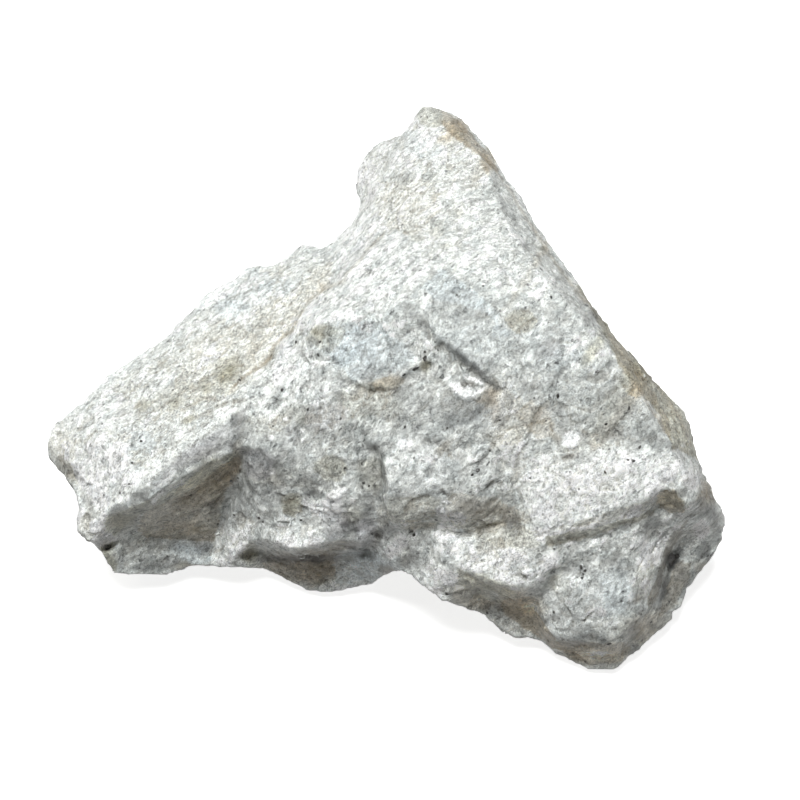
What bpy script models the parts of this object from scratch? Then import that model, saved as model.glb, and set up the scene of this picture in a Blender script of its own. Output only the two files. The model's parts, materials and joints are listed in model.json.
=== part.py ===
"""Humite specimen: one broken lump of pale humite, resting on its flattest face.

The lump is laid out on a drawing sheet: its outline, the breaks in its surface
and the spots between them are each given as (column, row, height), where column
and row are sheet units seen from EYE and height is millimetres above the table.
A plate cut to the outline is swept along the sight lines: its top becomes the
broken upper surface and its bottom the hidden back, and the part is then
trimmed flat where it rests.  Metres, +Z up, origin under the middle of the box.
"""

import math

import bmesh
import bpy
import numpy as np
from mathutils import Vector
from mathutils.geometry import delaunay_2d_cdt

# ---- driving dimensions ----------------------------------------------------
MM = 0.001
SIGHT_ELEVATION = math.radians(58.0)   # the sheet's line of sight above the table
SIGHT_DISTANCE = 400.0                 # mm, from EYE to TARGET
TARGET = (0.0, 0.0, 22.0)              # mm, the point at the sheet's centre
SHEET_CENTRE = 400.0                   # sheet units, both ways
SHEET_FOCAL = 8000.0 / 3.0             # sheet units, one unit is about 0.15 mm
EDGE_THICKNESS = 1.6                   # mm, along the sight line at the outline
ROUNDING = 7.0                         # mm, quick swelling just inside the outline
ROUNDING_REACH = 9.0                   # sheet units over which it happens
BACK_SLOPE = 0.46                      # mm of thickness for each sheet unit inwards
PLATE_VOXEL = 1.0                      # mm, spacing on the flat plate
BODY_VOXEL = 1.05                      # mm, spacing on the lump itself
FACE_SHARE = 0.22                      # share of the faces kept by the Decimate
RELIEF = 0.35                          # mm, size of the broken surface's grain
REST_HEIGHT = 0.0                      # mm, the resting face
BOX_MIDDLE = (-2.25, 9.01)
# Big fracture faces on the hidden side: a point in mm and the way each faces.
HIDDEN_FACES = (
    ((4.0, 38.5, 0.0), (0.08, 0.55, -0.83)),        # under the high end
    ((-34.0, 15.8, 19.0), (-0.60, 0.72, -0.36)),    # behind the slab
    ((43.8, -8.2, 24.0), (0.84, 0.49, -0.22)),      # the long right side
    ((-54.2, -5.0, 14.0), (-0.80, -0.25, -0.55)),   # under the left end
    ((48.9, -19.0, 12.0), (0.85, -0.10, -0.52)),    # under the right end
)

# The outline, clockwise from the left end.
OUTLINE = [
    (47, 446, 16.8), (49, 458, 15.3), (56, 468, 15.6), (65, 477, 16.2), (72, 487, 17), (77, 498, 18),
    (80, 508, 18), (78, 520, 17.2), (79, 531, 16.4), (86, 539, 15.4), (96, 545, 14.2), (102, 553, 11.4),
    (108, 563, 9.2), (114, 573, 7), (128, 574, 6), (145, 576, 5.2), (162, 575.5, 4.6), (175, 571, 4.4),
    (188, 567, 4.6), (205, 566, 5.2), (230, 568, 6.4), (250, 567, 5.6), (264, 569, 3.2), (277, 575, 2.8),
    (292, 583, 2.4), (307, 590, 2), (320, 592, 2), (333, 592, 2), (352, 588, 2.4), (368, 584, 3),
    (382, 577, 8), (398, 569, 13), (410, 575, 13.5), (421, 584, 13.4), (432, 592, 13.2), (442, 600, 12.4),
    (455, 604, 11.2), (468, 609, 9.6), (480, 613, 8), (490, 620, 6.4), (502, 629, 5.2), (514, 637, 4.4),
    (530, 638, 4.2), (539, 640, 3), (548, 647, 2.5), (557, 655, 2), (568, 659, 2), (578, 665, 1.6),
    (588, 669, 1.5), (603, 669, 1.5), (612, 670, 1.5), (619, 667, 2), (627, 658, 2.5), (640, 649, 3),
    (650, 638, 3.47), (664, 627, 3.9), (672, 619, 4.29), (672, 613, 4.63), (681, 607, 5.23), (685, 598, 5.74),
    (687, 589, 5.97), (698, 575, 6.4), (708, 563, 7.06), (716, 551, 7.85), (722, 540, 8.9), (725, 526, 10.8),
    (725, 516, 12.3), (721, 507, 13.8), (715, 498, 14.8), (711, 488, 15.8), (705, 476, 16.8), (699, 460, 18.3),
    (694, 443, 19.81), (690, 424, 21.6), (685, 413, 22.39), (672, 400, 23.84), (660, 386, 25.39), (646, 370, 26.57),
    (630, 353, 27.77), (615, 337, 28.84), (603, 321, 29.77), (590, 301, 30.5), (577, 281, 30.5), (563, 262, 30.5),
    (548, 242, 30.5), (533, 219, 30), (523, 202, 29.5), (514, 187, 29), (505, 177, 28.5), (499, 165, 28),
    (490, 150, 27.5), (480, 140, 27), (470, 128, 26.5), (460, 118, 26), (450, 113, 26), (440, 109, 26),
    (430, 106, 26), (422, 107, 26), (417, 112, 25.5), (409, 125, 25.5), (402, 133, 25), (394, 138, 24.5),
    (383, 140, 23.5), (372, 148, 23), (363, 159, 22.5), (358, 170, 22.5), (356, 183, 22.5), (358, 194, 23),
    (360, 202, 23.5), (358, 211, 24), (352, 222, 24), (343, 232, 24), (333, 241, 24), (323, 248, 23.5),
    (316, 247, 22.5), (310, 244, 22), (303, 243, 21.5), (297, 248, 21.5), (289, 256, 22), (278, 263, 22),
    (268, 266, 22), (256, 266, 22), (246, 268, 21.5), (237, 276, 21.5), (224, 285, 21.5), (210, 292, 21),
    (200, 300, 20.5), (192, 310, 20.5), (178, 325, 20.5), (170, 334, 20.5), (154, 345, 20), (140, 355, 20),
    (122, 367, 19.5), (106, 377, 19.5), (96, 389, 19.5), (85, 400, 19), (72, 410, 18.5), (64, 418, 17.5),
    (56, 421, 16.5), (51, 429, 17.3),
]

# Edges where the surface breaks: crests, the feet of steps, and cracks.
BREAKS = {
    "n_hfoot": [
        (658, 507, 21.2), (664, 512, 20.8), (673, 515, 20.5), (682, 516, 20.2), (692, 512, 19.6),
    ],
    "n_hollow": [
        (650, 495, 25.9), (658, 489, 26.2), (667, 487, 26.3), (676, 492, 26), (681, 500, 25), (684, 507, 23.8),
        (691, 506, 23.2), (699, 499, 23.2),
    ],
    "o_under": [
        (468, 590, 13), (478, 596, 10.8), (492, 602, 9.2), (508, 610, 7.8), (522, 615, 7.2), (534, 609, 8.4),
    ],
    "crack_foot": [
        (333, 283, 29.5), (322, 291, 29), (310, 300, 28.6), (300, 309, 28.3), (293, 320, 28.2), (285, 335, 27.9),
        (275, 350, 27.6), (266, 363, 27.3), (254, 373, 27.1), (240, 384, 27), (225, 395, 26.8),
    ],
    "crack_top": [
        (337, 286, 32.4), (326, 294, 32.2), (314, 303, 32), (304, 312, 31.7), (297, 323, 31.2), (289, 338, 30.5),
        (279, 353, 29.8), (270, 366, 29.1), (258, 377, 28.6), (244, 388, 28.1), (229, 398, 27.4),
    ],
    "lip_top": [
        (79, 484, 17.5), (88, 497, 18), (98, 507, 18.7), (110, 509, 20), (122, 503, 21.7), (135, 494, 23.2),
        (150, 479, 24.8), (165, 466, 25.4), (180, 452, 25.9), (197, 438, 26.2), (215, 425, 26.6), (229, 412, 26.9),
    ],
    "rim_low": [
        (129, 510, 20), (141, 505, 21.3), (153, 498, 22.5), (166, 487, 23.2), (179, 479, 23.6), (191, 472, 23.8),
        (203, 465, 23.9), (215, 458.5, 24), (226, 453.5, 24), (234, 449, 24),
    ],
    "c_foot": [
        (131, 525, 14.3), (144, 521, 15.4), (156, 516, 16.2), (168, 509, 16.6), (181, 502, 16.8), (195, 495, 16.9),
        (207, 489, 17), (218, 482, 17.2), (228, 473, 18), (236, 463, 20), (239, 453, 22.6),
    ],
    "lobe": [
        (66, 422, 18.5), (70, 435, 19.3), (77, 450, 19.8), (77, 465, 19.3), (79, 484, 17.5),
    ],
    "e_edge": [
        (337, 286, 32.4), (352, 270, 33.6), (368, 258, 34.6), (385, 248, 35.6), (400, 240, 36.3),
    ],
    "e_foot": [
        (333, 283, 29.5), (345, 266, 30.6), (362, 253, 31.6), (380, 242, 32.6), (397, 232, 33.8),
    ],
    "ridge": [
        (447, 118, 30), (462, 136, 31.5), (478, 152, 33), (489, 170, 34.2), (494, 190, 35.2), (502, 212, 36.6),
        (515, 238, 38), (530, 262, 39), (548, 283, 39.4), (568, 303, 39.39), (590, 325, 38.48), (606, 345, 37.17),
        (622, 362, 35.81), (636, 385, 33.84), (648, 408, 31.75), (658, 428, 30.01), (672, 450, 28.4), (688, 475, 26.8),
    ],
    "fg": [
        (305, 341, 32.2), (312, 330, 34), (322, 320, 35.2), (340, 314, 36.4), (360, 310, 37.4), (380, 311, 38.1),
        (400, 314, 38.7), (415, 316, 38.9), (424, 318, 39),
    ],
    "j_top": [
        (428, 323, 38.9), (436, 332, 38.7), (444, 340, 38.5), (455, 349, 38.3), (467, 357.5, 38), (480, 366.5, 37.6),
        (491, 374.5, 37.2), (500, 382.5, 36.9), (505, 391, 36),
    ],
    "j_foot": [
        (427, 328, 38), (435, 339, 37.5), (443, 347.5, 37.15), (454, 356.5, 36.85), (466, 365.5, 36.5), (478, 374.5, 36.1),
        (489, 382.5, 35.8), (497, 389.5, 35.7), (502, 399, 35.5),
    ],
    "g_low": [
        (345, 374, 33.3), (362, 384, 33), (375, 387, 33), (388, 386, 33.3), (400, 378, 33.8), (410, 371, 34.2),
        (420, 364, 34.79), (430, 355, 35.24),
    ],
    "g_foot": [
        (348, 382, 31.9), (362, 389, 31.7), (376, 392, 31.8), (390, 391, 32.2), (403, 384, 32.9), (415, 376, 33.4),
        (428, 366, 34.04),
    ],
    "gh": [
        (318, 345, 33.2), (326, 360, 32.7), (335, 375, 32.4), (345, 388, 31.8),
    ],
    "u_top": [
        (372, 441, 31), (381, 449, 30.7), (383, 457, 30.3), (386, 468, 29.8), (388, 480, 29.2), (387, 495, 28),
        (388, 508, 26.5), (393, 518, 24.5),
    ],
    "u_foot": [
        (368, 446, 29), (376, 453, 28.3), (379, 462, 27.5), (381, 472, 26.8), (383, 484, 25.8), (382, 497, 24.5),
        (383, 510, 22.5), (387, 521, 21),
    ],
    "l_rim": [
        (393, 518, 24.5), (406, 517, 23.9), (421, 514, 24.6), (440, 508, 26.2), (452, 511, 26), (466, 511, 25.9),
        (480, 506, 25.9), (490, 496, 26.5), (499, 482, 27.1), (505, 467, 27.9),
    ],
    "l_foot": [
        (400, 530, 20.2), (415, 528, 20), (432, 526, 20), (447, 530, 20.1), (461, 534, 20), (475, 533, 20.1),
        (489, 528, 20.4), (502, 524, 21), (514, 522, 21.8),
    ],
    "o_crest": [
        (438, 535, 20.4), (449, 538, 20.6), (461, 541, 20.5), (475, 540, 20.6), (490, 536, 21), (505, 533, 21.6),
        (520, 532, 22.2),
    ],
    "o_rim": [
        (431, 536, 19.9), (438, 546, 19.4), (445, 556, 18.9), (455, 565, 18.5), (467, 571, 18.2), (480, 577, 17.8),
        (495, 583, 17.5), (512, 586, 17.6), (528, 585, 17.8), (540, 578, 18.3), (550, 570, 18.8), (560, 564, 19),
    ],
    "n_top": [
        (546, 538, 22.4), (556, 534, 22.9), (566, 530, 23.5), (582, 522, 24.2), (600, 514, 24.7), (618, 507, 25.1),
        (637, 501, 25.6), (650, 495, 25.9),
    ],
    "n_foot": [
        (546, 538, 22.4), (554, 547, 20.9), (565, 547, 20.2), (580, 542, 20), (600, 536, 20.2), (618, 530, 20.5),
        (636, 523, 20.8), (650, 514, 21.1), (658, 507, 21.2),
    ],
    "p_edge": [
        (572, 566, 17.6), (559, 573, 17), (550, 582, 16), (544, 594, 14.2), (541, 608, 12), (546, 620, 10.6),
    ],
    "p_low": [
        (547, 630, 9.8), (556, 637, 9.6), (570, 640, 9.6), (585, 641, 9.8), (600, 646, 9.6), (612, 643, 10),
        (622, 635, 10.6), (631, 622, 11.2), (643, 608, 11.4),
    ],
    "p_foot": [
        (557, 648, 4.8), (580, 652, 4.5), (600, 657, 4.2), (618, 655, 4.5), (634, 636, 5.74),
    ],
    "q_top": [
        (692, 512, 19.6), (685, 518, 18.8), (680, 526, 17.6), (671, 538, 16), (665, 550, 14.2), (663, 565, 12.6),
        (660, 580, 11), (655, 598, 8.9), (650, 615, 7.26),
    ],
    "q_foot": [
        (700, 520, 16.6), (690, 531, 14), (680, 543, 11.6), (672, 556, 9.42), (670, 574, 8.04), (665, 592, 7.16),
        (658, 612, 6.27),
    ],
    "s_rim": [
        (240, 551, 10.2), (252, 541, 12.4), (262, 539, 14.4), (275, 543, 15.6), (290, 548, 16.3), (305, 548, 16.7),
        (322, 544, 17.2), (335, 541, 17.2), (350, 541, 17.1), (362, 544, 16.8), (372, 538, 17),
    ],
    "s_foot": [
        (248, 553, 6.2), (262, 550, 7), (280, 557, 7.3), (300, 560, 7.4), (325, 558, 7.8), (350, 557, 8.2),
        (366, 553, 9),
    ],
    "toe": [
        (110, 551, 10.8), (122, 541, 10.2), (140, 537, 9.2), (160, 538, 8), (180, 540, 6.9), (198, 541, 6.4),
        (211, 540, 6.6),
    ],
    "m_edge": [
        (249, 480, 20.6), (243, 489, 17.8), (237, 500, 15.8), (231, 513, 13.5), (228, 528, 11.2), (226, 543, 9.2),
        (223, 556, 7),
    ],
    "v_top": [
        (242, 446, 25.1), (253, 447, 25.5), (264, 448, 25.8), (273, 456, 25.6), (281, 463, 25.4), (291, 466, 25.2),
        (303, 470, 25.2), (316, 466, 26),
    ],
    "v_foot": [
        (249, 480, 20.6), (258, 487, 20.9), (268, 491, 21), (288, 494, 21.2), (308, 493, 21.9), (321, 486, 23.2),
    ],
    "m_in": [
        (243.5, 484, 18.2), (239, 492, 14.8), (231, 502, 12.4), (225, 515, 10.4), (221, 529, 8.2),
    ],
}

# Spots on the faces between the breaks.
SPOTS = [
    (100, 440, 23), (95, 470, 21), (110, 488, 21.3), (130, 420, 23.6), (130, 460, 24.3), (150, 440, 25),
    (180, 420, 25.6), (200, 390, 25.4), (230, 350, 25.4), (160, 380, 23.3), (200, 340, 23.8), (260, 310, 25.6),
    (290, 280, 26.3), (310, 266, 26.6), (250, 285, 23.6), (105, 405, 21.5), (60, 440, 18.5), (62, 458, 17.4),
    (72, 475, 15.4), (333, 268, 28.6), (345, 252, 28.6), (360, 235, 29.2), (375, 215, 29.8), (395, 205, 31.2),
    (430, 115, 29.2), (440, 140, 31.3), (415, 140, 29.8), (400, 150, 29.6), (385, 165, 27.8), (375, 190, 27.8),
    (410, 190, 32), (450, 180, 34), (430, 220, 35.3), (470, 220, 37), (420, 255, 37.6), (500, 260, 39.6),
    (460, 280, 40.4), (350, 290, 35.4), (380, 280, 37), (410, 280, 38.6), (430, 297, 39.8), (340, 345, 34.7),
    (370, 342, 35), (400, 343, 35.8), (350, 362, 33.7), (380, 368, 33.8), (405, 360, 35), (300, 352, 31.3),
    (285, 375, 30), (300, 393, 29.6), (318, 393, 30.6), (331, 396, 31), (325, 376, 31.7), (338, 402, 30.2),
    (300, 408, 28.6), (275, 402, 28.2), (252, 408, 27.4), (268, 420, 27.3), (290, 422, 27.4), (312, 425, 27.8),
    (335, 420, 29), (352, 410, 30.6), (372, 412, 31.5), (390, 405, 32.2), (340, 450, 28), (362, 440, 29.6),
    (340, 475, 26), (362, 470, 27), (268, 500, 20), (312, 500, 21.5), (335, 497, 24), (360, 495, 24.4),
    (258, 522, 15), (325, 530, 18.3), (346, 520, 20), (366, 515, 21.4), (300, 576, 4.2), (340, 574, 4.8),
    (400, 430, 32.3), (408, 460, 31), (440, 460, 31.09), (470, 455, 30.14), (495, 455, 29.9), (410, 485, 28.9),
    (440, 480, 29.49), (470, 482, 28.74), (515, 490, 25.4), (520, 470, 27.89), (520, 300, 40), (560, 330, 38.45),
    (520, 350, 37.31), (560, 370, 35.67), (600, 370, 35.37), (540, 400, 33.04), (580, 410, 31.89), (620, 410, 32.09),
    (530, 430, 31.6), (570, 440, 29.44), (610, 440, 29.54), (640, 440, 29.64), (520, 455, 29.6), (550, 462, 29),
    (590, 463, 29), (630, 466, 28.8), (650, 530, 18), (707, 527, 13.8), (702, 545, 10.8), (692, 565, 8.59),
    (680, 588, 7.06), (668, 606, 6.19), (700, 500, 21.4), (710, 510, 17.3), (430, 400, 34), (460, 400, 34.3),
    (482, 405, 34.4), (460, 430, 33.2), (430, 430, 33.2), (488, 432, 32.8), (400, 410, 33.2), (300, 444, 26.4),
    (377, 537, 13.2), (106, 548, 7.6), (290, 506, 19.7), (279, 510, 19.1), (300, 510, 19.8), (292, 522, 17.9),
    (304, 524, 18.2), (268, 505, 19.5), (280, 532, 16.9), (376, 562, 10.8), (495, 550, 19.6), (485, 560, 19.2),
    (590, 549, 19.2), (440, 362, 35.9), (455, 374, 35.5), (430, 356, 35.9), (470, 386, 35), (243, 432, 25.6),
    (535, 500, 26.2), (562, 497, 26.3), (600, 486, 27.1), (640, 480, 27.4), (664, 474, 27.6), (575, 505, 25.5),
    (620, 541, 19.4), (645, 530, 19.9), (630, 560, 17.2), (650, 560, 15.2), (655, 522, 20.2), (668, 524, 19.6),
    (605, 550, 18.6), (428, 568, 15.8), (485, 609, 7.8), (502, 619, 6.4), (520, 628, 5.4), (538, 626, 5.8),
    (412, 545, 17.6), (418, 556, 16.8), (434, 556, 17.4), (455, 550, 19.9), (478, 550, 19.7), (502, 498, 24.2),
    (510, 510, 22.6), (425, 538, 18.8), (565, 556, 19), (590, 552, 19), (250, 434, 26.2), (270, 436, 26.7),
    (91, 514, 18.2), (90, 529, 16.8), (97, 537, 15.8), (389, 532, 18.2), (384, 546, 16.2), (393, 553, 15.6),
    (398, 544, 16.8), (389, 563, 13.8), (378, 562, 11.6), (438, 580, 15.6), (450, 591, 13.4), (446, 569, 17.6),
    (458, 579, 16.4), (515, 548, 21.2), (535, 550, 21.4), (530, 530, 23.2), (505, 566, 19.4), (530, 566, 19.8),
    (566, 590, 16.4), (570, 603, 15), (600, 597, 15.8), (630, 590, 15.8), (578, 618, 13.2), (608, 616, 13.4),
    (632, 604, 13.8), (590, 580, 17.3), (618, 578, 17.1), (506, 440, 31.6), (130, 558, 7.9), (160, 558, 6.6),
    (190, 556, 5.7), (206, 556, 5.8), (585, 568, 17), (605, 562, 17.2), (256, 497, 19.6), (243, 520, 12.8),
    (236, 557, 8.6),
]


EYE = (
    TARGET[0],
    TARGET[1] - SIGHT_DISTANCE * math.cos(SIGHT_ELEVATION),
    TARGET[2] + SIGHT_DISTANCE * math.sin(SIGHT_ELEVATION),
)
FORWARD = (0.0, math.cos(SIGHT_ELEVATION), -math.sin(SIGHT_ELEVATION))
UPWARD = (0.0, math.sin(SIGHT_ELEVATION), math.cos(SIGHT_ELEVATION))


def sight_lines(col, row):
    """Directions from EYE through the sheet; their length along FORWARD is 1."""
    a = (col - SHEET_CENTRE) / SHEET_FOCAL
    b = (SHEET_CENTRE - row) / SHEET_FOCAL
    return a, FORWARD[1] + b * UPWARD[1], FORWARD[2] + b * UPWARD[2]


def triangulated_net():
    """The outline, breaks and spots as one triangulated net, breaks kept as edges."""
    points, heights, index, edges = [], [], {}, []

    def add(p):
        key = (p[0], p[1])
        if key not in index:
            index[key] = len(points)
            points.append(Vector(key))
            heights.append(float(p[2]))
        return index[key]

    ring = [add(p) for p in OUTLINE]
    edges += list(zip(ring, ring[1:] + ring[:1]))
    for line in BREAKS.values():
        ids = [add(p) for p in line]
        edges += list(zip(ids, ids[1:]))
    for p in SPOTS:
        add(p)
    verts, _, faces, origin, _, _ = delaunay_2d_cdt(points, edges, [ring], 1, 1e-4)
    z = []
    for v, src in zip(verts, origin):
        if src:
            z.append(sum(heights[s] for s in src) / len(src))
        else:
            near = sorted(((v - p).length, h) for p, h in zip(points, heights))[:2]
            share = [1.0 / max(d, 1e-6) for d, _ in near]
            z.append(sum(s * h for s, (_, h) in zip(share, near)) / sum(share))
    xyz = np.array([(v[0], v[1], h) for v, h in zip(verts, z)])
    return xyz, [f for f in faces if len(f) == 3]


def sheet_of_heights():
    """Height of the upper surface at every whole sheet unit; nan outside."""
    xyz, faces = triangulated_net()
    size = 801
    sheet = np.full((size, size), np.nan)
    for f in faces:
        a, b, c = xyz[f[0]], xyz[f[1]], xyz[f[2]]
        lo = np.ceil(np.minimum(np.minimum(a, b), c)[:2]).astype(int)
        hi = np.floor(np.maximum(np.maximum(a, b), c)[:2]).astype(int)
        den = (b[1] - c[1]) * (a[0] - c[0]) + (c[0] - b[0]) * (a[1] - c[1])
        if (hi < lo).any() or abs(den) < 1e-9:
            continue
        gx, gy = np.meshgrid(np.arange(lo[0], hi[0] + 1), np.arange(lo[1], hi[1] + 1))
        wa = ((b[1] - c[1]) * (gx - c[0]) + (c[0] - b[0]) * (gy - c[1])) / den
        wb = ((c[1] - a[1]) * (gx - c[0]) + (a[0] - c[0]) * (gy - c[1])) / den
        wc = 1.0 - wa - wb
        inside = (wa >= -1e-6) & (wb >= -1e-6) & (wc >= -1e-6)
        part = sheet[lo[1]:hi[1] + 1, lo[0]:hi[0] + 1]
        part[inside] = (wa * a[2] + wb * b[2] + wc * c[2])[inside]
    return sheet


def grow_outwards(sheet, steps):
    """Carries the rim's heights a few units past the outline, so sampling never misses."""
    for _ in range(steps):
        hole = np.isnan(sheet)
        total = np.zeros_like(sheet)
        count = np.zeros_like(sheet)
        for dy, dx in ((0, 1), (0, -1), (1, 0), (-1, 0)):
            near = np.roll(sheet, (dy, dx), (0, 1))
            ok = ~np.isnan(near)
            total[ok] += near[ok]
            count[ok] += 1
        fill = hole & (count > 0)
        sheet[fill] = total[fill] / count[fill]
    return sheet


def inward_distance(col, row):
    """Distance from the outline, in sheet units, for points inside it."""
    ring = np.array([(p[0], p[1]) for p in OUTLINE], float)
    best = np.full(len(col), 1e9)
    for p, q in zip(ring, np.roll(ring, -1, 0)):
        d = q - p
        t = ((col - p[0]) * d[0] + (row - p[1]) * d[1]) / max(float(d @ d), 1e-9)
        t = np.clip(t, 0.0, 1.0)
        best = np.minimum(best, np.hypot(col - p[0] - t * d[0], row - p[1] - t * d[1]))
    return best


def sample(sheet, col, row):
    x = np.clip(col, 1, 798.999)
    y = np.clip(row, 1, 798.999)
    i, j = x.astype(int), y.astype(int)
    fx, fy = x - i, y - j
    return (
        sheet[j, i] * (1 - fx) * (1 - fy) + sheet[j, i + 1] * fx * (1 - fy)
        + sheet[j + 1, i] * (1 - fx) * fy + sheet[j + 1, i + 1] * fx * fy
    )


def wave_noise(p, size, seed, waves=14):
    """Smooth noise in [-1, 1]: a sum of plane waves with seeded directions."""
    rng = np.random.default_rng(seed)
    total = np.zeros(len(p))
    for _ in range(waves):
        d = rng.normal(size=3)
        d *= rng.uniform(0.6, 1.5) * 2 * math.pi / (size * np.linalg.norm(d))
        total += np.sin(p @ d + rng.uniform(0, 2 * math.pi))
    return total / math.sqrt(waves)


def clear_scene():
    for obj in list(bpy.data.objects):
        bpy.data.objects.remove(obj, do_unlink=True)
    for block in list(bpy.data.meshes) + list(bpy.data.curves):
        (bpy.data.meshes if isinstance(block, bpy.types.Mesh) else bpy.data.curves).remove(block)


def collection(name):
    found = bpy.data.collections.new(name)
    bpy.context.scene.collection.children.link(found)
    return found


def humite_material():
    mat = bpy.data.materials.new("humite")
    mat.use_nodes = True
    bsdf = mat.node_tree.nodes["Principled BSDF"]
    bsdf.inputs["Base Color"].default_value = (0.62, 0.64, 0.60, 1.0)
    bsdf.inputs["Roughness"].default_value = 0.55
    bsdf.inputs["Metallic"].default_value = 0.0
    bsdf.inputs["IOR"].default_value = 1.63
    mat.diffuse_color = (0.62, 0.64, 0.60, 1.0)
    return mat


def outline_plate(parent):
    """The outline as a filled 2D curve with a thickness, made into an even mesh."""
    unit = SIGHT_DISTANCE / SHEET_FOCAL
    curve = bpy.data.curves.new("outline", "CURVE")
    curve.dimensions = "2D"
    curve.fill_mode = "BOTH"
    curve.extrude = 3.0 * PLATE_VOXEL * MM
    spline = curve.splines.new("POLY")
    spline.points.add(len(OUTLINE) - 1)
    for point, (col, row, _) in zip(spline.points, OUTLINE):
        point.co = ((col - SHEET_CENTRE) * unit * MM, (SHEET_CENTRE - row) * unit * MM, 0.0, 1.0)
    spline.use_cyclic_u = True
    flat = bpy.data.objects.new("outline", curve)
    parent.objects.link(flat)
    bpy.context.view_layer.update()
    graph = bpy.context.evaluated_depsgraph_get()
    mesh = bpy.data.meshes.new_from_object(flat.evaluated_get(graph))
    bpy.data.objects.remove(flat, do_unlink=True)
    bpy.data.curves.remove(curve)
    shape = bmesh.new()
    shape.from_mesh(mesh)
    bmesh.ops.remove_doubles(shape, verts=shape.verts, dist=1e-6)
    shape.to_mesh(mesh)
    shape.free()
    plate = bpy.data.objects.new("plate", mesh)
    parent.objects.link(plate)
    even = plate.modifiers.new("even", "REMESH")
    even.mode = "VOXEL"
    even.voxel_size = PLATE_VOXEL * MM
    bpy.context.view_layer.update()
    graph = bpy.context.evaluated_depsgraph_get()
    spread = bpy.data.meshes.new_from_object(plate.evaluated_get(graph))
    bpy.data.objects.remove(plate, do_unlink=True)
    bpy.data.meshes.remove(mesh)
    return spread


def sweep_plate(mesh):
    """Moves the plate's vertices along the sight lines onto the lump's two sides."""
    co = np.empty(len(mesh.vertices) * 3, np.float32)
    mesh.vertices.foreach_get("co", co)
    co = co.reshape(-1, 3).astype(float) / MM
    unit = SIGHT_DISTANCE / SHEET_FOCAL
    col = SHEET_CENTRE + co[:, 0] / unit
    row = SHEET_CENTRE - co[:, 1] / unit
    side = np.clip(0.5 - co[:, 2] / (5.0 * PLATE_VOXEL), 0.0, 1.0)   # 0 front, 1 back
    sheet = grow_outwards(sheet_of_heights(), 8)
    height = sample(sheet, col, row)
    ax, ay, az = sight_lines(col, row)
    front = (height - EYE[2]) / az
    inward = inward_distance(col, row)
    step = np.stack([ax, ay, az], 1)
    at = np.array(EYE) + step * front[:, None]
    lumpy = 1.0 + 0.22 * wave_noise(at, 34.0, 5) + 0.10 * wave_noise(at, 13.0, 6)
    thick = EDGE_THICKNESS + ROUNDING * (1 - np.exp(-inward / ROUNDING_REACH))
    thick = thick + BACK_SLOPE * inward * np.clip(lumpy, 0.5, 1.6)
    deepest = (-2.5 - EYE[2]) / az                  # a little under the table
    back = np.minimum(front + thick, deepest)
    for point, facing in HIDDEN_FACES:
        out = step @ np.array(facing)
        leave = (np.array(point) - np.array(EYE)) @ np.array(facing) / np.where(out > 1e-6, out, 1.0)
        leave = leave + 0.9 * wave_noise(at, 15.0, 7) + 0.4 * wave_noise(at, 6.0, 8)
        back = np.where(out > 1e-6, np.minimum(back, leave), back)
    back = np.maximum(back, front + 0.8 * EDGE_THICKNESS)
    t = front + (back - front) * side
    grain = RELIEF * (wave_noise(at, 5.5, 11) * 0.6 + wave_noise(at, 2.9, 12) * 0.4)
    t = t + grain * np.clip(inward / 6.0, 0.0, 1.0) * (1.0 - 0.5 * side)
    body = np.array(EYE) + step * t[:, None] - np.array((BOX_MIDDLE[0], BOX_MIDDLE[1], 0.0))
    body = body * MM
    mesh.vertices.foreach_set("co", body.astype(np.float32).ravel())
    mesh.update()
    return mesh


def keep_one_body(thing):
    """Fixes the modelled shape and drops any crumb that came loose from the lump."""
    depsgraph = bpy.context.evaluated_depsgraph_get()
    shaped = bpy.data.meshes.new_from_object(thing.evaluated_get(depsgraph))
    work = bmesh.new()
    work.from_mesh(shaped)
    work.verts.ensure_lookup_table()
    seen = set()
    bodies = []
    for start in work.verts:
        if start in seen:
            continue
        seen.add(start)
        body, waiting = [], [start]
        while waiting:
            vertex = waiting.pop()
            body.append(vertex)
            for edge in vertex.link_edges:
                other = edge.other_vert(vertex)
                if other not in seen:
                    seen.add(other)
                    waiting.append(other)
        bodies.append(body)
    bodies.sort(key=len, reverse=True)
    for crumb in bodies[1:]:
        bmesh.ops.delete(work, geom=crumb, context="VERTS")
    work.to_mesh(shaped)
    work.free()
    old = thing.data
    thing.modifiers.clear()
    thing.data = shaped
    bpy.data.meshes.remove(old)
    shaped.name = "humite_rock"


def build():
    clear_scene()
    parts = collection("humite_specimen")
    helpers = collection("cutters")

    mesh = sweep_plate(outline_plate(helpers))
    mesh.name = "humite_rock"
    rock = bpy.data.objects.new("humite_rock", mesh)
    parts.objects.link(rock)
    mesh.materials.clear()
    mesh.materials.append(humite_material())

    even = rock.modifiers.new("even_body", "REMESH")
    even.mode = "VOXEL"
    even.voxel_size = BODY_VOXEL * MM
    even.use_smooth_shade = False
    fewer = rock.modifiers.new("fewer_faces", "DECIMATE")
    fewer.ratio = FACE_SHARE

    bpy.ops.mesh.primitive_cube_add(size=1.0)
    cutter = bpy.context.active_object
    cutter.name = "rest_cutter"
    for held in list(cutter.users_collection):
        held.objects.unlink(cutter)
    helpers.objects.link(cutter)
    cutter.scale = (0.16, 0.16, 0.02)
    cutter.location = (0.0, 0.0, (REST_HEIGHT * MM) - 0.01)
    cutter.display_type = "WIRE"
    cutter.hide_render = True
    trim = rock.modifiers.new("resting_face", "BOOLEAN")
    trim.operation = "DIFFERENCE"
    trim.object = cutter
    bpy.context.view_layer.update()
    keep_one_body(rock)


build()
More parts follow.
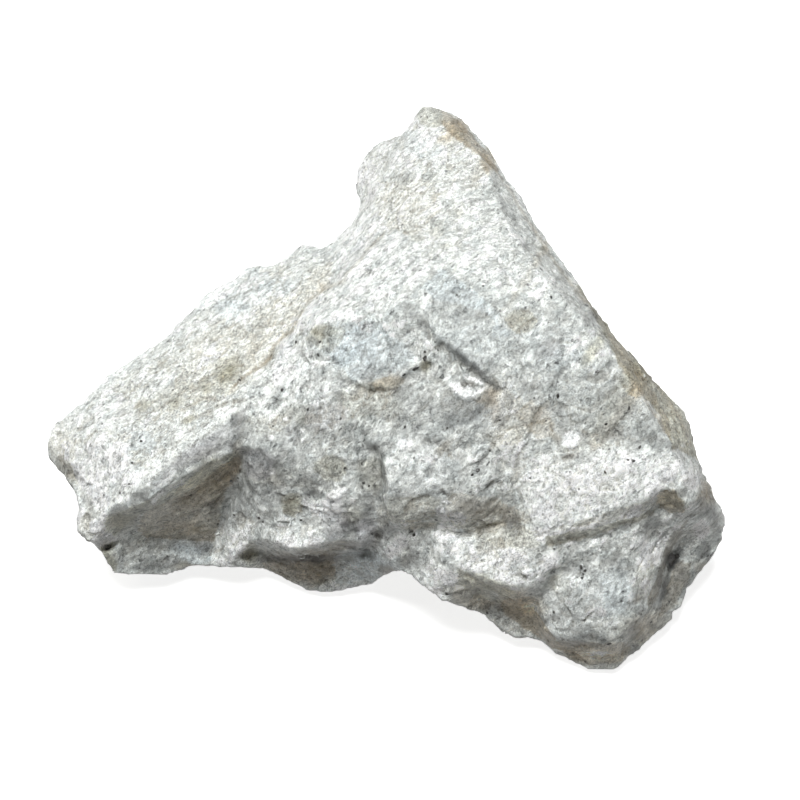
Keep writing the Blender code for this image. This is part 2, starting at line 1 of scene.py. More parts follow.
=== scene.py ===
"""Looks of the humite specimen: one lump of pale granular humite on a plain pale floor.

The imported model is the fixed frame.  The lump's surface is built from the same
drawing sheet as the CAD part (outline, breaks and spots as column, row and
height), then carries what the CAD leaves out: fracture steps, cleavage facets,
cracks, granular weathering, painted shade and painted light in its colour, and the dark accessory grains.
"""

import json
import math

import bpy
import numpy as np
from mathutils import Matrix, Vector
from mathutils.bvhtree import BVHTree
from mathutils.geometry import delaunay_2d_cdt

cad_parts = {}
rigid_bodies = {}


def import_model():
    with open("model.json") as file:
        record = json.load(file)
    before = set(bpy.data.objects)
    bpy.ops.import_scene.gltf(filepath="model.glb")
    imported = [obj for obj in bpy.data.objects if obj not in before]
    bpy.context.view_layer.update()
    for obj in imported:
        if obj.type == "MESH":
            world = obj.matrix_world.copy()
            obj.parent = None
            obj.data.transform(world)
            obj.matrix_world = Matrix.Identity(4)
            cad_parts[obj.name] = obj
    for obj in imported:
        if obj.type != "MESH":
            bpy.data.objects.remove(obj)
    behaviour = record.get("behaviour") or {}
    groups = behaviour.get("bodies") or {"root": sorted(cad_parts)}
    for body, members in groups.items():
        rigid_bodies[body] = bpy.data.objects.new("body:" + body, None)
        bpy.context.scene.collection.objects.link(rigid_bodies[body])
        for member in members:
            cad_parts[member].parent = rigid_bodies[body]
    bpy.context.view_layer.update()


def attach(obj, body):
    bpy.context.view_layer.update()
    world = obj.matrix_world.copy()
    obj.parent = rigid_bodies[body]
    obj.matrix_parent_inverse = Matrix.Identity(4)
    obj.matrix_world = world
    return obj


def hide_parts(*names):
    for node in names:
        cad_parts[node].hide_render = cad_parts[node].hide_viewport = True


for left_over in list(bpy.data.objects):
    bpy.data.objects.remove(left_over, do_unlink=True)
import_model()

# ---- the drawing sheet -----------------------------------------------------
MM = 0.001
SIGHT_ELEVATION = math.radians(58.0)
SIGHT_DISTANCE = 400.0
TARGET = (0.0, 0.0, 22.0)
SHEET_CENTRE = 400.0
SHEET_FOCAL = 8000.0 / 3.0
BOX_MIDDLE = (-2.25, 9.01)
EDGE_THICKNESS = 1.6
ROUNDING = 7.0
ROUNDING_REACH = 9.0
BACK_SLOPE = 0.46
HIDDEN_FACES = (
    ((4.0, 38.5, 0.0), (0.08, 0.55, -0.83)),
    ((-34.0, 15.8, 19.0), (-0.60, 0.72, -0.36)),
    ((43.8, -8.2, 24.0), (0.84, 0.49, -0.22)),
    ((-54.2, -5.0, 14.0), (-0.80, -0.25, -0.55)),
    ((48.9, -19.0, 12.0), (0.85, -0.10, -0.52)),
)
BODY_VOXEL = 0.25
WANTED_TRIANGLES = 244000                     # the decimator lands about a fifth below its target
MOST_TRIANGLES = 198000
BACK_TRIANGLES = 46000

# The outline, clockwise from the left end: column, row, height in mm.
OUTLINE = [
    (47, 446, 16.8), (49, 458, 15.3), (56, 468, 15.6), (65, 477, 16.2), (72, 487, 17), (77, 498, 18),
    (80, 508, 18), (78, 520, 17.2), (79, 531, 16.4), (86, 539, 15.4), (96, 545, 14.2), (102, 553, 11.4),
    (108, 563, 9.2), (114, 573, 7), (128, 574, 6), (145, 576, 5.2), (162, 575.5, 4.6), (175, 571, 4.4),
    (188, 567, 4.6), (205, 566, 5.2), (230, 568, 6.4), (250, 567, 5.6), (264, 569, 3.2), (277, 575, 2.8),
    (292, 583, 2.4), (307, 590, 2), (320, 592, 2), (333, 592, 2), (352, 588, 2.4), (368, 584, 3),
    (382, 577, 8), (398, 569, 13), (410, 575, 13.5), (421, 584, 13.4), (432, 592, 13.2), (442, 600, 12.4),
    (455, 604, 11.2), (468, 609, 9.6), (480, 613, 8), (490, 620, 6.4), (502, 629, 5.2), (514, 637, 4.4),
    (530, 638, 4.2), (539, 640, 3), (548, 647, 2.5), (557, 655, 2), (568, 659, 2), (578, 665, 1.6),
    (588, 669, 1.5), (603, 669, 1.5), (612, 670, 1.5), (619, 667, 2), (627, 658, 2.5), (640, 649, 3),
    (650, 638, 3.47), (664, 627, 3.9), (672, 619, 4.29), (672, 613, 4.63), (681, 607, 5.23), (685, 598, 5.74),
    (687, 589, 5.97), (698, 575, 6.4), (708, 563, 7.06), (716, 551, 7.85), (722, 540, 8.9), (725, 526, 10.8),
    (725, 516, 12.3), (721, 507, 13.8), (715, 498, 14.8), (711, 488, 15.8), (705, 476, 16.8), (699, 460, 18.3),
    (694, 443, 19.81), (690, 424, 21.6), (685, 413, 22.39), (672, 400, 23.84), (660, 386, 25.39), (646, 370, 26.57),
    (630, 353, 27.77), (615, 337, 28.84), (603, 321, 29.77), (590, 301, 30.5), (577, 281, 30.5), (563, 262, 30.5),
    (548, 242, 30.5), (533, 219, 30), (523, 202, 29.5), (514, 187, 29), (505, 177, 28.5), (499, 165, 28),
    (490, 150, 27.5), (480, 140, 27), (470, 128, 26.5), (460, 118, 26), (450, 113, 26), (440, 109, 26),
    (430, 106, 26), (422, 107, 26), (417, 112, 25.5), (409, 125, 25.5), (402, 133, 25), (394, 138, 24.5),
    (383, 140, 23.5), (372, 148, 23), (363, 159, 22.5), (358, 170, 22.5), (356, 183, 22.5), (358, 194, 23),
    (360, 202, 23.5), (358, 211, 24), (352, 222, 24), (343, 232, 24), (333, 241, 24), (323, 248, 23.5),
    (316, 247, 22.5), (310, 244, 22), (303, 243, 21.5), (297, 248, 21.5), (289, 256, 22), (278, 263, 22),
    (268, 266, 22), (256, 266, 22), (246, 268, 21.5), (237, 276, 21.5), (224, 285, 21.5), (210, 292, 21),
    (200, 300, 20.5), (192, 310, 20.5), (178, 325, 20.5), (170, 334, 20.5), (154, 345, 20), (140, 355, 20),
    (122, 367, 19.5), (106, 377, 19.5), (96, 389, 19.5), (85, 400, 19), (72, 410, 18.5), (64, 418, 17.5),
    (56, 421, 16.5), (51, 429, 17.3),
]

# Edges where the surface breaks.
BREAKS = {
    "n_hfoot": [
        (658, 507, 21.2), (664, 512, 20.8), (673, 515, 20.5), (682, 516, 20.2), (692, 512, 19.6),
    ],
    "n_hollow": [
        (650, 495, 25.9), (658, 489, 26.2), (667, 487, 26.3), (676, 492, 26), (681, 500, 25), (684, 507, 23.8),
        (691, 506, 23.2), (699, 499, 23.2),
    ],
    "o_under": [
        (468, 590, 13), (478, 596, 10.8), (492, 602, 9.2), (508, 610, 7.8), (522, 615, 7.2), (534, 609, 8.4),
    ],
    "crack_foot": [
        (333, 283, 29.5), (322, 291, 29), (310, 300, 28.6), (300, 309, 28.3), (293, 320, 28.2), (285, 335, 27.9),
        (275, 350, 27.6), (266, 363, 27.3), (254, 373, 27.1), (240, 384, 27), (225, 395, 26.8),
    ],
    "crack_top": [
        (337, 286, 32.4), (326, 294, 32.2), (314, 303, 32), (304, 312, 31.7), (297, 323, 31.2), (289, 338, 30.5),
        (279, 353, 29.8), (270, 366, 29.1), (258, 377, 28.6), (244, 388, 28.1), (229, 398, 27.4),
    ],
    "lip_top": [
        (79, 484, 17.5), (88, 497, 18), (98, 507, 18.7), (110, 509, 20), (122, 503, 21.7), (135, 494, 23.2),
        (150, 479, 24.8), (165, 466, 25.4), (180, 452, 25.9), (197, 438, 26.2), (215, 425, 26.6), (229, 412, 26.9),
    ],
    "rim_low": [
        (129, 510, 20), (141, 505, 21.3), (153, 498, 22.5), (166, 487, 23.2), (179, 479, 23.6), (191, 472, 23.8),
        (203, 465, 23.9), (215, 458.5, 24), (226, 453.5, 24), (234, 449, 24),
    ],
    "c_foot": [
        (131, 525, 14.3), (144, 521, 15.4), (156, 516, 16.2), (168, 509, 16.6), (181, 502, 16.8), (195, 495, 16.9),
        (207, 489, 17), (218, 482, 17.2), (228, 473, 18), (236, 463, 20), (239, 453, 22.6),
    ],
    "lobe": [
        (66, 422, 18.5), (70, 435, 19.3), (77, 450, 19.8), (77, 465, 19.3), (79, 484, 17.5),
    ],
    "e_edge": [
        (337, 286, 32.4), (352, 270, 33.6), (368, 258, 34.6), (385, 248, 35.6), (400, 240, 36.3),
    ],
    "e_foot": [
        (333, 283, 29.5), (345, 266, 30.6), (362, 253, 31.6), (380, 242, 32.6), (397, 232, 33.8),
    ],
    "ridge": [
        (447, 118, 30), (462, 136, 31.5), (478, 152, 33), (489, 170, 34.2), (494, 190, 35.2), (502, 212, 36.6),
        (515, 238, 38), (530, 262, 39), (548, 283, 39.4), (568, 303, 39.39), (590, 325, 38.48), (606, 345, 37.17),
        (622, 362, 35.81), (636, 385, 33.84), (648, 408, 31.75), (658, 428, 30.01), (672, 450, 28.4), (688, 475, 26.8),
    ],
    "fg": [
        (305, 341, 32.2), (312, 330, 34), (322, 320, 35.2), (340, 314, 36.4), (360, 310, 37.4), (380, 311, 38.1),
        (400, 314, 38.7), (415, 316, 38.9), (424, 318, 39),
    ],
    "j_top": [
        (428, 323, 38.9), (436, 332, 38.7), (444, 340, 38.5), (455, 349, 38.3), (467, 357.5, 38), (480, 366.5, 37.6),
        (491, 374.5, 37.2), (500, 382.5, 36.9), (505, 391, 36),
    ],
    "j_foot": [
        (427, 328, 38), (435, 339, 37.5), (443, 347.5, 37.15), (454, 356.5, 36.85), (466, 365.5, 36.5), (478, 374.5, 36.1),
        (489, 382.5, 35.8), (497, 389.5, 35.7), (502, 399, 35.5),
    ],
    "g_low": [
        (345, 374, 33.3), (362, 384, 33), (375, 387, 33), (388, 386, 33.3), (400, 378, 33.8), (410, 371, 34.2),
        (420, 364, 34.79), (430, 355, 35.24),
    ],
    "g_foot": [
        (348, 382, 31.9), (362, 389, 31.7), (376, 392, 31.8), (390, 391, 32.2), (403, 384, 32.9), (415, 376, 33.4),
        (428, 366, 34.04),
    ],
    "gh": [
        (318, 345, 33.2), (326, 360, 32.7), (335, 375, 32.4), (345, 388, 31.8),
    ],
    "u_top": [
        (372, 441, 31), (381, 449, 30.7), (383, 457, 30.3), (386, 468, 29.8), (388, 480, 29.2), (387, 495, 28),
        (388, 508, 26.5), (393, 518, 24.5),
    ],
    "u_foot": [
        (368, 446, 29), (376, 453, 28.3), (379, 462, 27.5), (381, 472, 26.8), (383, 484, 25.8), (382, 497, 24.5),
        (383, 510, 22.5), (387, 521, 21),
    ],
    "l_rim": [
        (393, 518, 24.5), (406, 517, 23.9), (421, 514, 24.6), (440, 508, 26.2), (452, 511, 26), (466, 511, 25.9),
        (480, 506, 25.9), (490, 496, 26.5), (499, 482, 27.1), (505, 467, 27.9),
    ],
    "l_foot": [
        (400, 530, 20.2), (415, 528, 20), (432, 526, 20), (447, 530, 20.1), (461, 534, 20), (475, 533, 20.1),
        (489, 528, 20.4), (502, 524, 21), (514, 522, 21.8),
    ],
    "o_crest": [
        (438, 535, 20.4), (449, 538, 20.6), (461, 541, 20.5), (475, 540, 20.6), (490, 536, 21), (505, 533, 21.6),
        (520, 532, 22.2),
    ],
    "o_rim": [
        (431, 536, 19.9), (438, 546, 19.4), (445, 556, 18.9), (455, 565, 18.5), (467, 571, 18.2), (480, 577, 17.8),
        (495, 583, 17.5), (512, 586, 17.6), (528, 585, 17.8), (540, 578, 18.3), (550, 570, 18.8), (560, 564, 19),
    ],
    "n_top": [
        (546, 538, 22.4), (556, 534, 22.9), (566, 530, 23.5), (582, 522, 24.2), (600, 514, 24.7), (618, 507, 25.1),
        (637, 501, 25.6), (650, 495, 25.9),
    ],
    "n_foot": [
        (546, 538, 22.4), (554, 547, 20.9), (565, 547, 20.2), (580, 542, 20), (600, 536, 20.2), (618, 530, 20.5),
        (636, 523, 20.8), (650, 514, 21.1), (658, 507, 21.2),
    ],
    "p_edge": [
        (572, 566, 17.6), (559, 573, 17), (550, 582, 16), (544, 594, 14.2), (541, 608, 12), (546, 620, 10.6),
    ],
    "p_low": [
        (547, 630, 9.8), (556, 637, 9.6), (570, 640, 9.6), (585, 641, 9.8), (600, 646, 9.6), (612, 643, 10),
        (622, 635, 10.6), (631, 622, 11.2), (643, 608, 11.4),
    ],
    "p_foot": [
        (557, 648, 4.8), (580, 652, 4.5), (600, 657, 4.2), (618, 655, 4.5), (634, 636, 5.74),
    ],
    "q_top": [
        (692, 512, 19.6), (685, 518, 18.8), (680, 526, 17.6), (671, 538, 16), (665, 550, 14.2), (663, 565, 12.6),
        (660, 580, 11), (655, 598, 8.9), (650, 615, 7.26),
    ],
    "q_foot": [
        (700, 520, 16.6), (690, 531, 14), (680, 543, 11.6), (672, 556, 9.42), (670, 574, 8.04), (665, 592, 7.16),
        (658, 612, 6.27),
    ],
    "s_rim": [
        (240, 551, 10.2), (252, 541, 12.4), (262, 539, 14.4), (275, 543, 15.6), (290, 548, 16.3), (305, 548, 16.7),
        (322, 544, 17.2), (335, 541, 17.2), (350, 541, 17.1), (362, 544, 16.8), (372, 538, 17),
    ],
    "s_foot": [
        (248, 553, 6.2), (262, 550, 7), (280, 557, 7.3), (300, 560, 7.4), (325, 558, 7.8), (350, 557, 8.2),
        (366, 553, 9),
    ],
    "toe": [
        (110, 551, 10.8), (122, 541, 10.2), (140, 537, 9.2), (160, 538, 8), (180, 540, 6.9), (198, 541, 6.4),
        (211, 540, 6.6),
    ],
    "m_edge": [
        (249, 480, 20.6), (243, 489, 17.8), (237, 500, 15.8), (231, 513, 13.5), (228, 528, 11.2), (226, 543, 9.2),
        (223, 556, 7),
    ],
    "v_top": [
        (242, 446, 25.1), (253, 447, 25.5), (264, 448, 25.8), (273, 456, 25.6), (281, 463, 25.4), (291, 466, 25.2),
        (303, 470, 25.2), (316, 466, 26),
    ],
    "v_foot": [
        (249, 480, 20.6), (258, 487, 20.9), (268, 491, 21), (288, 494, 21.2), (308, 493, 21.9), (321, 486, 23.2),
    ],
    "m_in": [
        (243.5, 484, 18.2), (239, 492, 14.8), (231, 502, 12.4), (225, 515, 10.4), (221, 529, 8.2),
    ],
}

# Spots on the faces between the breaks.
SPOTS = [
    (100, 440, 23), (95, 470, 21), (110, 488, 21.3), (130, 420, 23.6), (130, 460, 24.3), (150, 440, 25),
    (180, 420, 25.6), (200, 390, 25.4), (230, 350, 25.4), (160, 380, 23.3), (200, 340, 23.8), (260, 310, 25.6),
    (290, 280, 26.3), (310, 266, 26.6), (250, 285, 23.6), (105, 405, 21.5), (60, 440, 18.5), (62, 458, 17.4),
    (72, 475, 15.4), (333, 268, 28.6), (345, 252, 28.6), (360, 235, 29.2), (375, 215, 29.8), (395, 205, 31.2),
    (430, 115, 29.2), (440, 140, 31.3), (415, 140, 29.8), (400, 150, 29.6), (385, 165, 27.8), (375, 190, 27.8),
    (410, 190, 32), (450, 180, 34), (430, 220, 35.3), (470, 220, 37), (420, 255, 37.6), (500, 260, 39.6),
    (460, 280, 40.4), (350, 290, 35.4), (380, 280, 37), (410, 280, 38.6), (430, 297, 39.8), (340, 345, 34.7),
    (370, 342, 35), (400, 343, 35.8), (350, 362, 33.7), (380, 368, 33.8), (405, 360, 35), (300, 352, 31.3),
    (285, 375, 30), (300, 393, 29.6), (318, 393, 30.6), (331, 396, 31), (325, 376, 31.7), (338, 402, 30.2),
    (300, 408, 28.6), (275, 402, 28.2), (252, 408, 27.4), (268, 420, 27.3), (290, 422, 27.4), (312, 425, 27.8),
    (335, 420, 29), (352, 410, 30.6), (372, 412, 31.5), (390, 405, 32.2), (340, 450, 28), (362, 440, 29.6),
    (340, 475, 26), (362, 470, 27), (268, 500, 20), (312, 500, 21.5), (335, 497, 24), (360, 495, 24.4),
    (258, 522, 15), (325, 530, 18.3), (346, 520, 20), (366, 515, 21.4), (300, 576, 4.2), (340, 574, 4.8),
    (400, 430, 32.3), (408, 460, 31), (440, 460, 31.09), (470, 455, 30.14), (495, 455, 29.9), (410, 485, 28.9),
    (440, 480, 29.49), (470, 482, 28.74), (515, 490, 25.4), (520, 470, 27.89), (520, 300, 40), (560, 330, 38.45),
    (520, 350, 37.31), (560, 370, 35.67), (600, 370, 35.37), (540, 400, 33.04), (580, 410, 31.89), (620, 410, 32.09),
    (530, 430, 31.6), (570, 440, 29.44), (610, 440, 29.54), (640, 440, 29.64), (520, 455, 29.6), (550, 462, 29),
    (590, 463, 29), (630, 466, 28.8), (650, 530, 18), (707, 527, 13.8), (702, 545, 10.8), (692, 565, 8.59),
    (680, 588, 7.06), (668, 606, 6.19), (700, 500, 21.4), (710, 510, 17.3), (430, 400, 34), (460, 400, 34.3),
    (482, 405, 34.4), (460, 430, 33.2), (430, 430, 33.2), (488, 432, 32.8), (400, 410, 33.2), (300, 444, 26.4),
    (377, 537, 15.2), (106, 548, 7.6), (290, 506, 19.7), (279, 510, 19.1), (300, 510, 19.8), (292, 522, 17.9),
    (304, 524, 18.2), (268, 505, 19.5), (280, 532, 16.9), (376, 562, 10.8), (495, 550, 19.6), (485, 560, 19.2),
    (590, 549, 19.2), (440, 362, 35.9), (455, 374, 35.5), (430, 356, 35.9), (470, 386, 35), (243, 432, 25.6),
    (535, 500, 26.2), (562, 497, 26.3), (600, 486, 27.1), (640, 480, 27.4), (664, 474, 27.6), (575, 505, 25.5),
    (620, 541, 19.4), (645, 530, 19.9), (630, 560, 17.2), (650, 560, 15.2), (655, 522, 20.2), (668, 524, 19.6),
    (605, 550, 18.6), (428, 568, 15.8), (485, 609, 7.8), (502, 619, 6.4), (520, 628, 5.4), (538, 626, 5.8),
    (412, 545, 17.6), (418, 556, 16.8), (434, 556, 17.4), (455, 550, 19.9), (478, 550, 19.7), (502, 498, 24.2),
    (510, 510, 22.6), (425, 538, 18.8), (565, 556, 19), (590, 552, 19), (250, 434, 26.2), (270, 436, 26.7),
    (91, 514, 18.2), (90, 529, 16.8), (97, 537, 15.8), (389, 532, 18.2), (384, 546, 16.2), (393, 553, 15.6),
    (398, 544, 16.8), (389, 563, 13.8), (378, 562, 11.6), (438, 580, 15.6), (450, 591, 13.4), (446, 569, 17.6),
    (458, 579, 16.4), (515, 548, 21.2), (535, 550, 21.4), (530, 530, 23.2), (505, 566, 19.4), (530, 566, 19.8),
    (566, 590, 16.4), (570, 603, 15), (600, 597, 15.8), (630, 590, 15.8), (578, 618, 13.2), (608, 616, 13.4),
    (632, 604, 13.8), (590, 580, 17.3), (618, 578, 17.1), (506, 440, 31.6), (130, 558, 7.9), (160, 558, 6.6),
    (190, 556, 5.7), (206, 556, 5.8), (585, 568, 17), (605, 562, 17.2), (256, 497, 19.6), (243, 520, 12.8),
    (236, 557, 8.6),
]


# Cracks cut into the surface: points on the sheet, half width in sheet units, depth in mm.
CRACKS = [
    ([(205, 407), (215, 400), (230, 392), (240, 381), (252, 371), (262, 367), (271, 357), (275, 345), (283, 337), (293, 330), (299, 318), (305, 306), (312, 300), (320, 293)], 1.7, 0.55),
    ([(320, 293), (330, 288), (345, 278), (352, 268), (362, 258), (370, 248), (378, 240), (388, 231), (398, 225)], 1.5, 0.35),
    ([(255, 368), (265, 363), (272, 355)], 2.6, 0.3),
    ([(200, 416), (207, 412), (215, 407), (225, 403), (240, 401)], 1.5, 0.35),
    ([(285, 336), (291, 332), (295, 326), (293, 321)], 1.2, 0.25),
    ([(372, 384), (376, 389), (384, 391), (392, 394), (398, 390), (402, 383), (412, 370), (420, 366)], 1.6, 0.5),
    ([(432, 437), (445, 448), (455, 458)], 2.6, 0.35),
    ([(497, 474), (490, 485), (481, 497)], 3.2, 0.45),
    ([(441, 489), (446, 494)], 2.0, 0.5),
    ([(545, 544), (562, 541), (580, 539), (600, 536), (616, 531)], 2.6, 0.45),
    ([(542, 579), (548, 573), (560, 567), (575, 562), (580, 558)], 2.6, 0.6),
    ([(668, 545), (665, 556), (664, 568), (661, 582), (657, 594), (652, 606)], 2.4, 0.7),
    ([(651, 619), (648, 628)], 1.5, 0.4),
    ([(75, 453), (78, 465), (77, 477)], 1.8, 0.4),
    ([(370, 449), (380, 447), (388, 440)], 1.3, 0.3),
    ([(348, 530), (355, 522), (362, 518)], 1.4, 0.35),
    ([(562, 459), (569, 457), (575, 455)], 2.4, 0.4),
    ([(555, 341), (563, 342), (570, 343)], 1.2, 0.2),
    ([(318, 284), (325, 283), (332, 286)], 3.2, 0.4),
]
# Small steps: points on the sheet, height in mm, reach in sheet units.  The ground to the
# left of the direction of travel stands higher and eases back over the reach.
STEPS = [
    ([(222, 312), (212, 320), (200, 326), (186, 338)], 0.144, 16),
    ([(217, 306), (205, 318)], 0.096, 10),
    ([(178, 361), (165, 372)], 0.106, 12),
    ([(174, 391), (162, 397)], 0.12, 14),
    ([(152, 405), (145, 415)], 0.096, 10),
    ([(150, 419), (136, 424)], 0.096, 10),
    ([(334, 404), (334, 392), (328, 378), (318, 368), (304, 360)], 0.216, 14),
    ([(503, 338), (500, 330), (493, 322), (487, 313)], 0.12, 12),
    ([(300, 462), (285, 462), (275, 460), (270, 455), (265, 447)], 0.192, 12),
    ([(315, 487), (303, 485), (290, 485)], 0.192, 10),
    ([(379, 500), (381, 480), (380, 468), (377, 462), (372, 456), (370, 450)], 0.168, 10),
    ([(592, 371), (575, 370), (562, 372)], 0.106, 14),
    ([(656, 415), (652, 408), (646, 400)], 0.168, 8),
    ([(655, 480), (664, 476), (668, 466), (664, 456), (655, 452)], 0.12, 10),
    ([(610, 578), (600, 568), (588, 566)], 0.168, 12),
    ([(470, 177), (465, 175), (458, 178)], 0.096, 8),
    ([(420, 219), (405, 213), (395, 204), (385, 200)], 0.106, 12),
    ([(460, 224), (448, 214), (436, 208), (425, 196)], 0.106, 12),
    ([(545, 420), (535, 423), (515, 430)], 0.106, 12),
    ([(598, 434), (588, 436), (582, 430)], 0.106, 10),
    ([(357, 545), (370, 538), (376, 530)], 0.144, 10),
    ([(345, 553), (330, 551), (325, 549), (308, 551), (293, 551), (283, 550), (275, 545), (262, 540)], 0.216, 14),
    ([(138, 571), (130, 570), (122, 565), (119, 558)], 0.144, 10),
    ([(157, 487), (148, 484), (140, 488), (138, 495)], 0.216, 8),
    ([(571, 345), (560, 347), (548, 343)], 0.086, 8),
    ([(636, 540), (630, 536), (620, 541)], 0.144, 9),
    ([(580, 446), (572, 450), (560, 452)], 0.12, 12),
    ([(455, 480), (446, 476), (438, 470)], 0.086, 10),
    ([(640, 425), (628, 418), (610, 414)], 0.072, 12),
    ([(360, 262), (372, 262), (386, 255), (398, 243)], 0.096, 12),
    ([(250, 318), (262, 309), (275, 304)], 0.096, 12),
    ([(120, 398), (133, 390), (146, 384)], 0.096, 12),
    ([(96, 450), (108, 440), (124, 434)], 0.106, 14),
    ([(262, 398), (272, 388), (284, 384)], 0.12, 12),
    ([(300, 372), (310, 366), (322, 366)], 0.096, 10),
    ([(345, 362), (356, 352), (372, 348), (388, 350)], 0.12, 14),
    ([(396, 330), (408, 322), (420, 322)], 0.096, 12),
    ([(446, 335), (458, 326), (470, 322)], 0.106, 12),
    ([(405, 420), (418, 412), (434, 408)], 0.096, 12),
    ([(490, 560), (505, 552), (522, 552)], 0.096, 12),
    ([(440, 548), (452, 546), (466, 552)], 0.096, 10),
    ([(560, 610), (572, 603), (588, 602)], 0.144, 12),
    ([(600, 625), (615, 618), (628, 606)], 0.12, 12),
    ([(700, 545), (696, 556), (688, 566)], 0.12, 10),
    ([(170, 548), (182, 541), (197, 540)], 0.12, 12),
    ([(205, 520), (190, 516), (176, 517)], 0.12, 10),
]
# Small crystal faces lying flat to the light, with a painted glint of near white: outline on the sheet, how far they
# stand out in mm.
FLAT_FACES = [
    ([(463, 378), (466, 375), (484, 380), (482, 384)], 0.10),
    ([(450, 384), (458, 382), (463, 388), (468, 385), (474, 391), (478, 386), (484, 389), (476, 397), (466, 399), (456, 395)], 0.10),
    ([(326, 495), (333, 490), (340, 486), (347, 487), (348, 492), (343, 497), (335, 501), (328, 498)], 0.15),
    ([(350, 500), (353, 498), (356, 499), (355, 503), (351, 503)], 0.15),
    ([(306, 504), (329, 511), (329, 514), (308, 508)], 0.12),
    ([(309, 509), (318, 512), (317, 515), (308, 511)], 0.10),
    ([(440, 508), (443, 506), (446, 509), (446, 513), (441, 514)], 0.12),
    ([(444, 501), (448, 500), (452, 503), (446, 505)], 0.12),
    ([(467, 542), (471, 540), (477, 553), (473, 557), (469, 551)], 0.10),
    ([(300, 428), (304, 428), (303, 433), (300, 432)], 0.10),
    ([(301, 439), (306, 438), (305, 442), (301, 442)], 0.10),
    ([(282, 418), (287, 418), (288, 421), (283, 421)], 0.10),
    ([(268, 436), (274, 435), (275, 439), (269, 441)], 0.08),
    ([(579, 565), (583, 564), (584, 568), (580, 569)], 0.15),
    ([(565, 345), (575, 346), (574, 349), (566, 348)], 0.08),
    ([(396, 440), (404, 437), (413, 441), (410, 449), (401, 450)], 0.06),
    ([(565, 430), (578, 432), (580, 444), (570, 450), (562, 444)], 0.08),
    ([(150, 503), (157, 495), (160, 497), (154, 505)], 0.12),
]
# Ground with a weathered, granular skin: column, row, half width, half height, turn in degrees, strength.
WEATHERED = [
    (170, 400, 150, 60, 36, 1.0), (280, 300, 60, 45, 30, 0.9), (70, 455, 25, 40, 0, 0.9),
    (400, 180, 60, 90, 0, 0.7), (420, 230, 60, 40, 0, 0.5), (480, 140, 22, 60, -40, 1.0), (540, 240, 10, 60, -32, 0.8),
    (640, 390, 24, 120, -32, 0.95), (560, 470, 90, 30, 5, 0.5), (705, 480, 18, 30, 0, 0.8), (500, 415, 20, 40, 0, 0.8),
    (510, 615, 60, 30, -25, 0.8), (310, 570, 80, 25, 0, 0.9), (600, 655, 50, 20, 0, 0.7), (370, 405, 40, 28, 0, 0.8),
    (268, 424, 26, 14, 0, 0.9), (560, 412, 50, 18, 10, 0.6), (95, 525, 22, 24, 0, 0.7), (445, 450, 16, 24, -45, 0.6),
    (500, 540, 50, 22, 10, 0.7),
]
